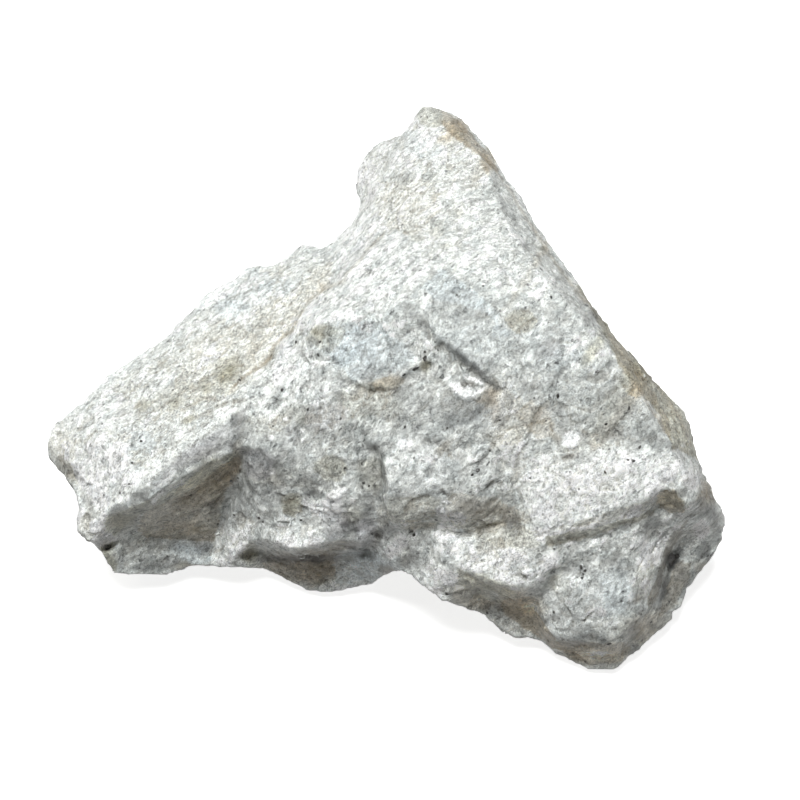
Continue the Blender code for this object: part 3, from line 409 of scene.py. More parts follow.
# Colour patches, laid one over another: kind, column, row, half width, half height, turn, strength. Most are the
# stone's own tones; the dark patches and some grey and brown ones in hollows, on steep faces and under overhangs are
# partly painted shade, and a few white and cream ones are partly painted light on steep faces.
ZONES = [
    ("white", 430, 160, 60, 60, 0, 0.8), ("white", 420, 230, 60, 40, 0, 0.7), ("white", 500, 240, 34, 60, -32, 0.5),
    ("white", 390, 290, 60, 28, 12, 0.6), ("white", 120, 455, 52, 34, 36, 0.7), ("white", 600, 470, 80, 26, 5, 0.9),
    ("white", 296, 376, 36, 26, 0, 0.6), ("white", 450, 540, 22, 18, 0, 0.9), ("white", 425, 465, 26, 26, 0, 0.6),
    ("white", 668, 470, 26, 20, 0, 0.6), ("white", 532, 288, 16, 16, 0, 0.8), ("white", 487, 557, 14, 14, 0, 0.6),
    ("white", 230, 535, 13, 26, 0, 0.6), ("white", 292, 530, 34, 16, 0, 0.7), ("cream", 215, 365, 60, 34, 36, 0.5),
    ("cream", 60, 450, 18, 34, 0, 0.35), ("cream", 90, 525, 14, 22, 0, 0.8), ("cream", 268, 424, 20, 12, 0, 0.6),
    ("cream", 655, 553, 5, 9, 0, 0.8), ("cream", 510, 540, 36, 18, 0, 0.5), ("white", 62, 450, 20, 36, 0, 0.6),
    ("white", 90, 500, 16, 30, 0, 0.6), ("white", 467, 457, 15, 13, 0, 0.8), ("cream", 505, 440, 18, 12, 0, 0.7),
    ("white", 285, 330, 18, 34, 20, 0.6), ("white", 365, 250, 42, 36, 30, 0.7), ("white", 340, 290, 20, 14, 0, 0.5),
    ("white", 228, 536, 12, 28, 0, 0.9), ("white", 390, 553, 12, 10, 0, 0.7), ("white", 420, 565, 24, 26, 0, 0.45),
    ("white", 700, 522, 12, 10, 0, 0.5), ("white", 490, 565, 50, 16, -8, 0.6), ("white", 300, 528, 30, 12, 0, 0.6),
    ("blue", 281, 287, 20, 9, 0, 0.6), ("blue", 360, 345, 42, 26, 5, 0.8), ("blue", 470, 338, 42, 34, -30, 0.7),
    ("blue", 466, 412, 24, 14, 10, 0.9), ("blue", 520, 568, 20, 12, 0, 0.6), ("blue", 188, 550, 14, 6, 0, 0.7),
    ("blue", 370, 565, 32, 20, 0, 0.8), ("blue", 120, 470, 26, 16, 36, 0.35), ("blue", 227, 324, 6, 6, 0, 0.5),
    ("blue", 600, 600, 44, 34, 0, 0.35), ("blue", 560, 360, 50, 30, -25, 0.4), ("blue", 430, 470, 30, 24, 0, 0.3),
    ("grey", 580, 395, 52, 34, -20, 0.7), ("grey", 445, 408, 45, 20, 0, 0.8), ("grey", 572, 375, 28, 10, 8, 0.4),
    ("grey", 425, 430, 26, 16, 0, 0.5), ("grey", 540, 320, 36, 30, -30, 0.35), ("grey", 109, 410, 10, 10, 0, 0.6),
    ("grey", 700, 560, 24, 44, -10, 0.6), ("grey", 155, 565, 16, 10, 0, 0.6), ("lilac", 190, 460, 42, 12, 36, 0.8),
    ("lilac", 292, 435, 9, 11, 0, 0.6), ("lilac", 342, 517, 9, 13, 0, 0.8), ("lilac", 365, 532, 11, 13, 0, 0.8),
    ("lilac", 500, 405, 12, 22, 0, 0.6), ("olive", 142, 405, 9, 7, 36, 0.7), ("olive", 174, 405, 8, 7, 36, 0.9),
    ("olive", 190, 420, 8, 6, 36, 0.9), ("olive", 228, 374, 9, 15, -30, 1), ("olive", 206, 385, 7, 10, 0, 0.95),
    ("olive", 165, 363, 6, 5, 0, 0.4), ("olive", 183, 350, 4, 4, 0, 0.4), ("olive", 198, 317, 4, 5, 0, 0.4),
    ("olive", 276, 271, 15, 7, 0, 0.3), ("olive", 314, 268, 8, 7, 0, 0.35), ("olive", 448, 167, 10, 5, 0, 0.5),
    ("olive", 418, 237, 7, 5, 0, 0.4), ("olive", 446, 246, 7, 4, 0, 0.4), ("olive", 125, 520, 16, 10, 0, 0.7),
    ("olive", 109, 556, 9, 16, 0, 0.7), ("olive", 425, 366, 7, 6, 0, 1), ("olive", 324, 332, 16, 9, -10, 0.8),
    ("olive", 380, 384, 20, 8, 0, 0.7), ("olive", 370, 405, 34, 20, 0, 0.6), ("olive", 332, 464, 14, 7, 0, 0.6),
    ("olive", 315, 432, 6, 5, 0, 0.5), ("olive", 290, 505, 10, 9, 0, 1), ("olive", 248, 553, 11, 13, 0, 0.8),
    ("olive", 672, 500, 18, 12, 0, 0.8), ("olive", 520, 320, 10, 6, 0, 0.4), ("olive", 455, 212, 10, 8, 0, 0.2),
    ("olive", 488, 583, 30, 8, -15, 0.8), ("olive", 622, 395, 14, 60, -34, 0.8), ("olive", 600, 340, 8, 40, -30, 0.7),
    ("brown", 322, 286, 10, 8, -20, 0.7), ("brown", 444, 448, 5, 16, -50, 0.5), ("grey", 470, 372, 40, 8, -32, 0.45),
    ("brown", 495, 405, 6, 20, 0, 0.5), ("brown", 420, 525, 20, 5, 0, 0.6), ("brown", 342, 546, 18, 6, 0, 0.7),
    ("brown", 300, 568, 50, 20, 0, 0.8), ("brown", 322, 562, 24, 13, 0, 0.6), ("brown", 186, 567, 15, 5, 0, 0.6),
    ("brown", 388, 572, 11, 6, -20, 0.6), ("brown", 522, 602, 26, 14, -20, 0.8), ("brown", 470, 600, 30, 14, -20, 0.5),
    ("brown", 590, 655, 44, 14, 0, 0.6), ("brown", 637, 632, 16, 16, 0, 0.4), ("brown", 705, 490, 10, 10, 0, 0.6),
    ("brown", 702, 568, 9, 8, 0, 0.5), ("brown", 490, 158, 10, 40, -38, 0.9), ("brown", 460, 126, 11, 32, -55, 0.9),
    ("brown", 545, 250, 4, 90, -34, 0.6), ("brown", 640, 385, 8, 90, -36, 0.7), ("brown", 372, 155, 10, 8, 0, 0.3),
    ("brown", 65, 472, 11, 13, 0, 0.4), ("brown", 555, 437, 6, 8, 0, 0.5), ("brown", 637, 600, 5, 5, 0, 0.5),
    ("dark", 200, 480, 34, 18, 30, 0.5), ("dark", 272, 470, 36, 14, 0, 0.55), ("dark", 232, 472, 8, 13, 0, 0.5),
    ("dark", 482, 510, 28, 9, 0, 0.5), ("dark", 376, 538, 5, 8, 0, 0.8), ("dark", 376, 488, 5, 14, 0, 0.6),
    ("dark", 304, 418, 4, 12, 0, 0.4), ("dark", 240, 425, 4, 20, 0, 0.5), ("dark", 552, 582, 7, 9, 0, 0.6),
    ("dark", 486, 402, 4, 3, 0, 0.6), ("dark", 322, 562, 20, 12, 0, 0.5), ("dark", 663, 582, 4, 8, 0, 0.6),
    ("dark", 470, 384, 8, 4, 0, 0.7), ("grey", 470, 300, 55, 26, -20, 0.45), ("grey", 372, 372, 36, 12, 0, 0.6),
    ("grey", 352, 462, 28, 20, 0, 0.55), ("grey", 370, 475, 16, 18, 0, 0.6), ("grey", 575, 448, 24, 8, 10, 0.5),
    ("grey", 640, 432, 34, 14, 20, 0.6), ("dark", 672, 580, 14, 22, 10, 0.35), ("brown", 240, 448, 6, 8, 0, 0.6),
    ("olive", 192, 470, 40, 12, 40, 0.5), ("brown", 200, 492, 34, 16, 35, 0.45), ("brown", 280, 478, 34, 10, 0, 0.35),
    ("olive", 625, 628, 40, 20, 0, 0.3), ("brown", 515, 608, 20, 12, -20, 0.5), ("grey", 585, 628, 26, 10, 0, 0.5),
    ("olive", 560, 585, 14, 12, -40, 0.4),
    ("grey", 300, 452, 70, 40, 0, 0.55), ("grey", 240, 430, 14, 18, 0, 0.5), ("grey", 460, 300, 46, 26, -20, 0.5),
    ("grey", 370, 408, 48, 26, 0, 0.55), ("grey", 462, 408, 34, 18, 0, 0.55), ("brown", 492, 388, 10, 20, -20, 0.55),
    ("grey", 450, 352, 34, 6, -38, 0.4), ("grey", 400, 312, 26, 10, 10, 0.45), ("brown", 385, 380, 18, 8, 0, 0.45),
    ("cream", 505, 436, 18, 14, 0, 0.7), ("grey", 612, 560, 13, 12, 0, 0.7), ("dark", 404, 557, 8, 10, 0, 0.5),
    ("olive", 352, 516, 14, 10, 0, 0.6), ("brown", 706, 497, 12, 14, 0, 0.7), ("grey", 668, 590, 34, 30, 20, 0.6),
    ("brown", 650, 625, 24, 16, 30, 0.5), ("white", 90, 515, 16, 30, 0, 0.6), ("white", 175, 472, 24, 12, 40, 0.5),
    ("grey", 258, 455, 24, 14, 0, 0.5), ("dark", 218, 485, 18, 14, 30, 0.35), ("olive", 370, 474, 16, 18, 0, 0.5),
    ("olive", 300, 415, 22, 10, 0, 0.4), ("grey", 150, 555, 30, 12, 0, 0.3), ("brown", 186, 530, 26, 10, 0, 0.4),
    ("white", 250, 290, 60, 30, 36, 0.35), ("white", 320, 290, 30, 20, 0, 0.4), ("grey", 655, 440, 14, 12, 0, 0.5),
    ("olive", 575, 450, 16, 8, 0, 0.5), ("grey", 540, 350, 22, 14, 0, 0.4), ("grey", 520, 425, 30, 12, 10, 0.3),
]
# Painted hairlines and streaks: kind, points on the sheet, half width, strength. Several white strokes along rims and
# rounded edges are painted highlights, and the wide dark stroke in the corner beside the slab's lip is painted shade.
STROKES = [
    ("dark", [(200, 416), (207, 412), (215, 407), (225, 403), (240, 401)], 1.2, 0.6),
    ("dark", [(162, 397), (174, 391)], 1.4, 0.5), ("dark", [(372, 383), (374, 387), (376, 390)], 1.3, 0.9),
    ("dark", [(377, 389), (384, 391)], 1.3, 0.9), ("dark", [(383, 398), (390, 394), (398, 391)], 1.0, 0.6),
    ("dark", [(151, 506), (155, 507)], 1.2, 0.6), ("dark", [(194, 544), (210, 543)], 1.4, 0.6),
    ("dark", [(290, 486), (315, 487)], 1.2, 0.5), ("dark", [(562, 459), (575, 455)], 2.2, 0.6),
    ("dark", [(555, 341), (570, 343)], 1.0, 0.6), ("dark", [(441, 489), (446, 494)], 1.3, 0.7),
    ("dark", [(446, 408), (454, 396), (460, 392)], 0.9, 0.3), ("dark", [(488, 398), (497, 404), (499, 415)], 1.1, 0.5),
    ("dark", [(395, 405), (405, 414), (414, 424), (420, 434)], 1.0, 0.4), ("dark", [(422, 410), (427, 405)], 1.2, 0.5),
    ("dark", [(476, 484), (482, 491)], 0.9, 0.4), ("dark", [(492, 474), (485, 488)], 1.1, 0.4),
    ("brown", [(515, 430), (535, 423), (545, 420)], 1.6, 0.6), ("brown", [(550, 420), (553, 430)], 1.4, 0.5),
    ("brown", [(582, 430), (588, 436), (598, 434)], 1.6, 0.6), ("brown", [(255, 368), (265, 363), (272, 355)], 2.2, 0.7),
    ("brown", [(230, 392), (240, 381), (252, 371), (262, 367), (271, 357), (275, 345), (283, 337), (293, 330)], 1.6, 0.7),
    ("brown", [(293, 330), (299, 318), (305, 306), (312, 300), (320, 293), (330, 288), (345, 280)], 1.5, 0.6),
    ("brown", [(345, 275), (352, 268), (362, 258), (370, 248), (378, 240), (385, 232)], 1.4, 0.5),
    ("brown", [(441, 120), (450, 131), (460, 139), (470, 146), (480, 154), (490, 164), (503, 180)], 1.6, 0.5),
    ("brown", [(507, 185), (520, 208), (535, 232), (552, 258), (570, 283), (585, 302)], 1.5, 0.6),
    ("white", [(105, 508), (112, 508), (120, 503), (130, 495), (140, 485), (150, 478), (158, 470), (165, 462), (172, 455), (180, 445), (190, 442), (200, 438), (207, 430), (215, 426), (228, 412)], 2.6, 0.7),
    ("white", [(648, 402), (652, 408), (656, 413)], 1.5, 0.8), ("white", [(318, 368), (328, 378), (334, 392), (334, 400)], 1.6, 0.7),
    ("white", [(285, 536), (300, 540), (323, 536)], 1.8, 0.6), ("white", [(357, 545), (370, 538), (376, 530)], 1.3, 0.6),
    ("white", [(572, 363), (582, 366), (592, 370)], 1.6, 0.6), ("white", [(150, 505), (158, 495), (168, 480)], 1.3, 0.5),
    ("white", [(119, 558), (122, 565), (130, 570), (138, 571)], 1.4, 0.6), ("white", [(556, 338), (566, 336), (580, 338)], 1.2, 0.5),
    ("white", [(400, 318), (412, 320), (424, 324)], 1.2, 0.4), ("white", [(455, 440), (462, 448), (470, 458)], 1.2, 0.5),
    ("white", [(478, 439), (484, 446), (490, 452)], 1.2, 0.5), ("white", [(560, 372), (575, 369), (590, 371)], 1.2, 0.6),
    ("white", [(600, 568), (605, 572), (610, 578)], 1.8, 0.6), ("white", [(386, 462), (388, 476), (386, 490)], 1.2, 0.4),
    ("white", [(56, 424), (78, 405), (110, 380), (150, 345), (190, 305), (230, 280), (265, 262), (300, 258), (335, 252), (358, 232), (368, 210), (362, 185), (366, 160), (385, 146)], 12.0, 0.45),
    ("brown", [(578, 290), (600, 318), (626, 348), (652, 378), (674, 408), (688, 436)], 2.6, 0.5), ("cream", [(606, 312), (632, 340), (660, 370), (682, 402), (692, 432)], 3.0, 0.5),
    ("dark", [(222, 470), (232, 464), (240, 460)], 5.0, 0.5),
]
# Dark accessory grains: column, row, width and height in sheet units, turn in degrees.
GRAINS = [
    (421, 117, 3, 3, 0), (427, 117, 2, 2, 0), (402, 225, 4, 4, 0), (296, 342, 3, 4, 0), (320, 342, 3, 3, 0), (318, 355, 3, 4, 30),
    (282, 390, 4, 5, 30), (240, 380, 5, 4, 30), (291, 405, 3, 5, 30), (294, 410, 3, 3, 0), (308, 409, 3, 5, 0), (341, 419, 3, 3, 0),
    (341, 428, 2, 4, 0), (362, 464, 2, 4, 0), (345, 468, 3, 3, 0), (364, 483, 4, 3, 0), (369, 486, 3, 3, 0), (141, 441, 4, 3, 0),
    (132, 463, 3, 3, 0), (129, 484, 4, 2, 0), (104, 495, 2, 3, 0), (120, 493, 3, 3, 0), (102, 424, 3, 2, 0), (78, 428, 2, 2, 0),
    (120, 373, 2, 2, 0), (150, 414, 2, 2, 0), (173, 390, 3, 2, 0), (175, 402, 2, 2, 0), (240, 471, 4, 4, 0), (231, 481, 4, 4, 0),
    (238, 478, 3, 3, 0), (234, 515, 3, 3, 0), (218, 524, 3, 3, 0), (259, 518, 5, 3, 20), (263, 522, 3, 3, 0), (301, 520, 4, 3, 0),
    (425, 358, 5, 9, 0), (425, 352, 3, 3, 0), (415, 369, 12, 4, 35), (404, 375, 5, 2, 35), (435, 342, 2, 2, 0), (438, 350, 2, 3, 0),
    (273, 426, 3, 2, 0), (141, 514, 2, 2, 0), (131, 533, 2, 3, 0), (190, 495, 3, 2, 0), (457, 295, 2, 2, 0), (539, 300, 2, 2, 0),
    (525, 330, 2, 2, 0), (508, 352, 2, 2, 0), (597, 372, 5, 3, 30), (558, 396, 4, 5, -30), (534, 398, 2, 2, 0), (629, 408, 4, 4, 0),
    (606, 424, 4, 3, 20), (500, 420, 3, 2, 0), (458, 421, 2, 2, 0), (447, 428, 3, 3, 0), (405, 427, 3, 3, 0), (490, 451, 2, 2, 0),
    (414, 458, 2, 3, 0), (478, 470, 5, 4, 20), (472, 475, 4, 3, 20), (530, 478, 3, 2, 0), (640, 447, 3, 6, -35), (633, 461, 5, 4, 0),
    (628, 460, 3, 3, 0), (605, 472, 3, 4, 30), (579, 489, 2, 2, 0), (570, 472, 2, 2, 0), (586, 305, 3, 3, 0), (411, 532, 6, 5, 10),
    (414, 535, 4, 4, 0), (436, 520, 4, 4, 0), (531, 594, 4, 2, 0), (447, 594, 5, 3, 0), (554, 549, 3, 2, 0), (509, 512, 3, 2, 0),
    (487, 613, 3, 3, 0), (554, 612, 3, 3, 0), (568, 654, 2, 2, 0), (585, 662, 2, 2, 0), (609, 644, 6, 3, 0), (671, 560, 13, 17, -8), (677, 556, 6, 7, 0), (668, 569, 5, 6, 20),
    (676, 557, 3, 4, 0), (708, 556, 4, 3, 0), (702, 557, 2, 3, 0), (651, 622, 3, 5, 20), (581, 567, 4, 5, 0), (585, 571, 4, 4, 0),
    (583, 574, 3, 3, 0), (582, 578, 3, 3, 0), (551, 297, 3, 4, 0), (483, 286, 3, 3, 0), (587, 306, 3, 2, 0), (600, 448, 2, 2, 0),
    (609, 449, 2, 2, 0), (546, 421, 2, 2, 0), (541, 404, 2, 2, 0), (586, 388, 2, 2, 0), (386, 182, 2, 2, 0), (363, 163, 2, 2, 0),
    (436, 184, 2, 2, 0),
]
EXTRA_GRAINS = 90

# Where the stone is clearer and darker, or frosted and lighter, and for many patches painted shade and painted light
# that darken or lighten steep faces, ledges, hollows, undersides and lit rims: column, row, half width, half height,
# turn, factor.
PAINTED_LIGHT_SHADE_AND_TONE = [
    (455, 411, 34, 12, 0, 0.74), (478, 416, 14, 12, 0, 0.74), (425, 404, 16, 12, 0, 0.86), (388, 408, 26, 14, 0, 0.88),
    (328, 382, 16, 16, 0, 0.84), (382, 374, 26, 8, 0, 0.82), (268, 456, 24, 13, 0, 0.86), (252, 492, 22, 26, 0, 0.80),
    (222, 506, 10, 22, 0, 0.80), (245, 430, 14, 14, 0, 0.80), (302, 556, 60, 8, 0, 0.74), (350, 518, 14, 12, 0, 0.66),
    (365, 500, 10, 14, 0, 0.78), (405, 556, 12, 14, 0, 0.72), (668, 590, 22, 34, 30, 0.74), (612, 565, 14, 14, 0, 0.74),
    (310, 490, 9, 7, 0, 0.75), (440, 298, 40, 18, 0, 0.93), (474, 318, 34, 26, 0, 0.93), (458, 380, 10, 5, -20, 0.80),
    (490, 366, 14, 8, -35, 0.86), (465, 356, 10, 6, -35, 0.84), (300, 412, 12, 12, 0, 0.86), (340, 428, 40, 10, 0, 0.86),
    (368, 404, 8, 12, 0, 0.88), (374, 472, 14, 16, 0, 0.80), (390, 480, 30, 16, 0, 0.88), (382, 440, 14, 14, 0, 0.82),
    (655, 432, 16, 12, 0, 0.80), (620, 434, 14, 10, 0, 0.84), (575, 452, 22, 8, 0, 0.84), (540, 400, 24, 20, 0, 0.92),
    (520, 375, 8, 12, 0, 0.84), (492, 205, 10, 20, -30, 0.82), (400, 178, 12, 8, 0, 0.86), (412, 245, 14, 26, 0, 0.92),
    (652, 508, 16, 12, 0, 0.66), (706, 500, 14, 12, 0, 0.62), (660, 618, 16, 24, 30, 0.80), (600, 590, 14, 24, 0, 0.90),
    (285, 503, 10, 10, 0, 0.85), (272, 500, 30, 30, 0, 0.88), (412, 312, 24, 10, 0, 0.86), (400, 350, 18, 16, 0, 0.88),
    (175, 560, 46, 7, 0, 0.76), (175, 542, 36, 8, 0, 0.82), (138, 500, 12, 14, 0, 0.88), (200, 537, 12, 10, 0, 0.72),
    (440, 490, 40, 8, 20, 0.82), (476, 498, 14, 8, 0, 0.82), (375, 534, 14, 8, 30, 0.72), (350, 550, 20, 8, -20, 0.80),
    (510, 514, 12, 14, 0, 0.66), (480, 412, 26, 10, -10, 0.88), (575, 556, 18, 8, 0, 0.78), (590, 600, 60, 30, 0, 0.93),
    (300, 315, 40, 10, 0, 0.93), (60, 455, 8, 20, 30, 0.80), (88, 490, 8, 16, 30, 0.86), (585, 305, 20, 26, -40, 0.90),
    (365, 370, 14, 10, 0, 0.84), (300, 362, 12, 10, 0, 0.86), (265, 320, 12, 12, 0, 0.86), (175, 395, 20, 12, 0, 0.92),
    (190, 426, 60, 12, 30, 0.94), (270, 395, 30, 14, 0, 0.93), (505, 400, 8, 10, 0, 0.74), (575, 630, 26, 8, 0, 0.82),
    (455, 352, 34, 8, -35, 1.30), (488, 378, 14, 8, -40, 1.20), (180, 478, 46, 12, 30, 1.16), (226, 460, 14, 14, 30, 1.42),
    (205, 486, 12, 22, 0, 1.22), (285, 480, 12, 10, 0, 1.25), (320, 500, 30, 12, 0, 1.16), (300, 465, 20, 10, 0, 1.20),
    (365, 262, 44, 34, 0, 1.04), (300, 300, 40, 22, -20, 1.05), (235, 290, 44, 22, 20, 1.04), (95, 440, 26, 22, 0, 1.06),
    (100, 480, 20, 30, 0, 1.08), (102, 528, 14, 14, 0, 1.30), (575, 345, 14, 16, 0, 1.14), (505, 436, 20, 20, 0, 1.16),
    (580, 470, 60, 20, 0, 1.06), (450, 508, 60, 10, 0, 1.12), (545, 525, 16, 14, 0, 1.16), (650, 555, 12, 26, -10, 1.35),
    (530, 600, 16, 14, 0, 1.34), (510, 572, 50, 14, 0, 1.08), (440, 572, 30, 10, -20, 1.12), (590, 648, 36, 8, 0, 1.55),
    (700, 520, 10, 8, 0, 1.22), (655, 490, 10, 10, 0, 1.22), (690, 478, 14, 8, 0, 1.2), (484, 160, 10, 22, -50, 1.08),
    (400, 540, 6, 14, 0, 1.15), (284, 335, 12, 24, 20, 1.06), (370, 322, 34, 10, 0, 1.08), (680, 420, 10, 36, -30, 1.12),
    (580, 390, 24, 12, 0, 1.08), (540, 360, 14, 14, 0, 1.06), (310, 500, 26, 8, 0, 1.10), (350, 590, 40, 6, 0, 1.10),
    (222, 452, 14, 8, 20, 0.71), (240, 510, 10, 26, -20, 0.74), (273, 464, 12, 8, 0, 0.64), (294, 459, 14, 8, 0, 0.64),
    (280, 480, 8, 8, 0, 0.64), (311, 493, 10, 6, 0, 0.46), (327, 436, 12, 8, 0, 0.71), (306, 429, 16, 8, 0, 0.76),
    (367, 413, 10, 7, 0, 0.64), (399, 422, 12, 8, 0, 0.71), (423, 430, 12, 7, 0, 0.71), (454, 423, 16, 9, 0, 0.61),
    (480, 429, 14, 7, 0, 0.61), (441, 442, 8, 7, 0, 0.71), (502, 421, 10, 7, 0, 0.64), (385, 448, 12, 8, 0, 0.67),
    (392, 495, 14, 10, 0, 0.64), (367, 473, 10, 8, 0, 0.74), (369, 513, 9, 8, 0, 0.55), (350, 527, 14, 8, 0, 0.41),
    (358, 548, 10, 7, 0, 0.58), (388, 528, 8, 7, 0, 0.49), (300, 558, 44, 5, 0, 0.52), (203, 549, 12, 8, 0, 0.49),
    (152, 568, 26, 5, 0, 0.64), (180, 548, 12, 8, 0, 0.71), (143, 493, 9, 9, 0, 0.67), (138, 515, 7, 8, 0, 0.74),
    (418, 557, 13, 12, 0, 0.46), (446, 562, 14, 8, 0, 0.67), (427, 539, 10, 7, 0, 0.71), (465, 507, 14, 7, 15, 0.58),
    (488, 490, 9, 8, 0, 0.64), (441, 501, 10, 6, 0, 0.71), (514, 527, 8, 11, 0, 0.44), (493, 515, 8, 7, 0, 0.74),
    (582, 459, 12, 6, 0, 0.58), (540, 451, 14, 6, 0, 0.74), (633, 446, 10, 8, 0, 0.61), (661, 446, 12, 8, 0, 0.58),
    (652, 523, 12, 7, 25, 0.36), (642, 532, 8, 5, 25, 0.58), (711, 513, 10, 9, 0, 0.36), (680, 492, 9, 7, 0, 0.55),
    (624, 567, 14, 13, 0, 0.52), (586, 571, 16, 9, 0, 0.58), (665, 595, 6, 12, 30, 0.44), (684, 575, 8, 16, 30, 0.55),
    (705, 552, 7, 16, 25, 0.58), (592, 640, 22, 8, 0, 0.36), (567, 645, 12, 6, 0, 0.61), (634, 648, 7, 9, 30, 0.52),
    (535, 590, 10, 9, 0, 0.67), (493, 611, 12, 7, 20, 0.49), (465, 597, 10, 6, 20, 0.64), (558, 618, 12, 7, 0, 0.61),
    (574, 595, 8, 7, 0, 0.61), (413, 311, 14, 10, -20, 0.64), (423, 326, 6, 6, 0, 0.58), (255, 329, 10, 10, 0, 0.67),
    (320, 375, 12, 12, 0, 0.67), (413, 371, 20, 9, -15, 0.67), (404, 393, 12, 9, 0, 0.55), (367, 381, 8, 7, 0, 0.67),
    (465, 389, 8, 6, 0, 0.64), (535, 350, 14, 9, 0, 0.71), (528, 389, 8, 8, 0, 0.67), (559, 410, 6, 8, 0, 0.71),
    (502, 208, 7, 10, -20, 0.67), (511, 218, 7, 8, 0, 0.67), (406, 177, 12, 6, 0, 0.64), (567, 273, 8, 14, -40, 0.64),
    (591, 318, 9, 12, -30, 0.55), (651, 375, 8, 14, -35, 0.71), (63, 469, 7, 12, 30, 0.52), (88, 507, 7, 14, 30, 0.58),
    (432, 346, 10, 6, -30, 1.44), (385, 338, 14, 7, 0, 1.25), (363, 329, 16, 6, 0, 1.35), (297, 325, 8, 10, 0, 1.30),
    (283, 343, 7, 12, 30, 1.30), (441, 138, 12, 8, 0, 1.35), (486, 176, 7, 12, -40, 1.25), (479, 212, 8, 9, -30, 1.21),
    (370, 175, 10, 24, 0, 1.12), (542, 249, 10, 8, -30, 1.35), (595, 352, 10, 8, 30, 1.54), (583, 366, 9, 8, 0, 1.30),
    (634, 392, 7, 12, -20, 1.44), (665, 418, 8, 16, -40, 1.35), (685, 445, 6, 9, -30, 1.49), (586, 403, 16, 7, 0, 1.25),
    (546, 392, 6, 7, 0, 1.35), (185, 486, 14, 8, 20, 1.49), (217, 488, 7, 12, 0, 1.35), (334, 513, 24, 6, 0, 1.54),
    (82, 480, 8, 12, -30, 1.35), (98, 501, 10, 8, -30, 1.39), (87, 455, 14, 8, 0, 1.21), (119, 464, 9, 12, 0, 1.25),
    (103, 541, 12, 7, 30, 2.02), (138, 539, 12, 6, 0, 1.44), (194, 532, 10, 6, 0, 1.35), (161, 535, 12, 5, 0, 1.25),
    (399, 548, 8, 9, 0, 1.59), (348, 567, 14, 6, 0, 1.30), (460, 519, 16, 6, 0, 1.49), (439, 526, 9, 5, 0, 1.39),
    (411, 525, 12, 6, -15, 1.30), (521, 449, 7, 10, 0, 1.35), (502, 463, 9, 7, 0, 1.25), (544, 535, 10, 8, 0, 1.69),
    (544, 511, 12, 8, 0, 1.25), (567, 488, 10, 10, 0, 1.21), (591, 506, 14, 6, 0, 1.21), (659, 500, 8, 6, 0, 1.96),
    (635, 513, 12, 5, 20, 1.69), (703, 529, 9, 7, 0, 1.69), (693, 485, 9, 6, 0, 1.39), (648, 588, 7, 12, 0, 1.85),
    (649, 562, 10, 8, 0, 1.30), (649, 613, 6, 8, 0, 1.59), (530, 609, 9, 9, 0, 1.69), (507, 592, 12, 6, 0, 1.44),
    (483, 600, 9, 6, 30, 1.54), (446, 588, 18, 6, 0, 1.35), (469, 582, 12, 7, 0, 1.25), (600, 657, 28, 6, 0, 2.02),
    (596, 613, 12, 7, 0, 1.25), (550, 560, 9, 8, 0, 1.30), (367, 368, 12, 6, 0, 1.21),
    (270, 450, 100, 26, 0, 0.80), (430, 450, 90, 40, 0, 0.88), (330, 490, 70, 30, 0, 0.90), (62, 448, 8, 14, 30, 1.25),
    (320, 395, 30, 20, 0, 0.92), (245, 472, 9, 9, 0, 0.70), (290, 310, 60, 24, 20, 1.06), (235, 300, 50, 20, 20, 1.06),
    (430, 132, 40, 16, 0, 1.08), (370, 190, 14, 50, 0, 1.08), (580, 490, 50, 16, 0, 1.06),
    (208, 512, 9, 10, 0, 0.74), (213, 538, 8, 12, 0, 0.78), (237, 495, 8, 14, 20, 0.80), (272, 489, 14, 7, -20, 0.66),
    (312, 496, 14, 5, 0, 0.62), (350, 535, 12, 8, 0, 0.66), (330, 537, 8, 6, 0, 0.80), (380, 538, 12, 7, -40, 0.66),
    (304, 558, 30, 5, 0, 0.74), (268, 536, 10, 8, -20, 0.78), (410, 570, 10, 8, -20, 0.70), (395, 562, 16, 6, -20, 0.74),
    (483, 533, 8, 8, 0, 0.68), (445, 495, 8, 12, 0, 0.84), (478, 475, 8, 9, 0, 0.80), (468, 497, 12, 6, 0, 0.84),
    (510, 422, 13, 8, 20, 0.76), (466, 387, 7, 7, 0, 0.70), (488, 395, 6, 8, 0, 0.74), (500, 372, 14, 6, -30, 0.80),
    (474, 360, 14, 5, -40, 0.76), (452, 344, 12, 6, -30, 0.84), (395, 380, 10, 6, 0, 0.76), (564, 459, 14, 7, 0, 0.78),
    (558, 444, 8, 7, 0, 0.84), (570, 566, 9, 7, 0, 0.72), (588, 548, 12, 9, 0, 0.84), (618, 578, 8, 7, 0, 0.80),
    (672, 583, 10, 7, 0, 0.70), (656, 516, 9, 6, 0, 0.70), (700, 514, 12, 7, 0, 0.74), (716, 503, 6, 8, 0, 0.74),
    (706, 560, 8, 14, 35, 0.72), (692, 572, 6, 8, 35, 0.74), (716, 536, 5, 12, 20, 0.80), (577, 614, 10, 7, 0, 0.76),
    (555, 606, 7, 9, 0, 0.80), (502, 617, 10, 6, 30, 0.80), (405, 585, 4, 4, 0, 1.0), (633, 628, 16, 8, -40, 0.84),
    (440, 305, 12, 8, 30, 0.84), (415, 318, 8, 7, 0, 0.82), (440, 119, 8, 6, 0, 0.78), (490, 172, 10, 8, 0, 0.80),
    (545, 250, 10, 10, -50, 0.86), (612, 366, 8, 8, 0, 0.78), (55, 462, 5, 8, 30, 0.78), (70, 485, 6, 12, 35, 0.70),
    (165, 470, 16, 7, 35, 0.82), (143, 492, 10, 8, 0, 0.80), (190, 458, 12, 8, 30, 0.86), (247, 408, 10, 8, 0, 0.80),
    (108, 408, 6, 14, 0, 0.90), (205, 550, 34, 7, 0, 0.84), (150, 565, 26, 5, 0, 0.86),
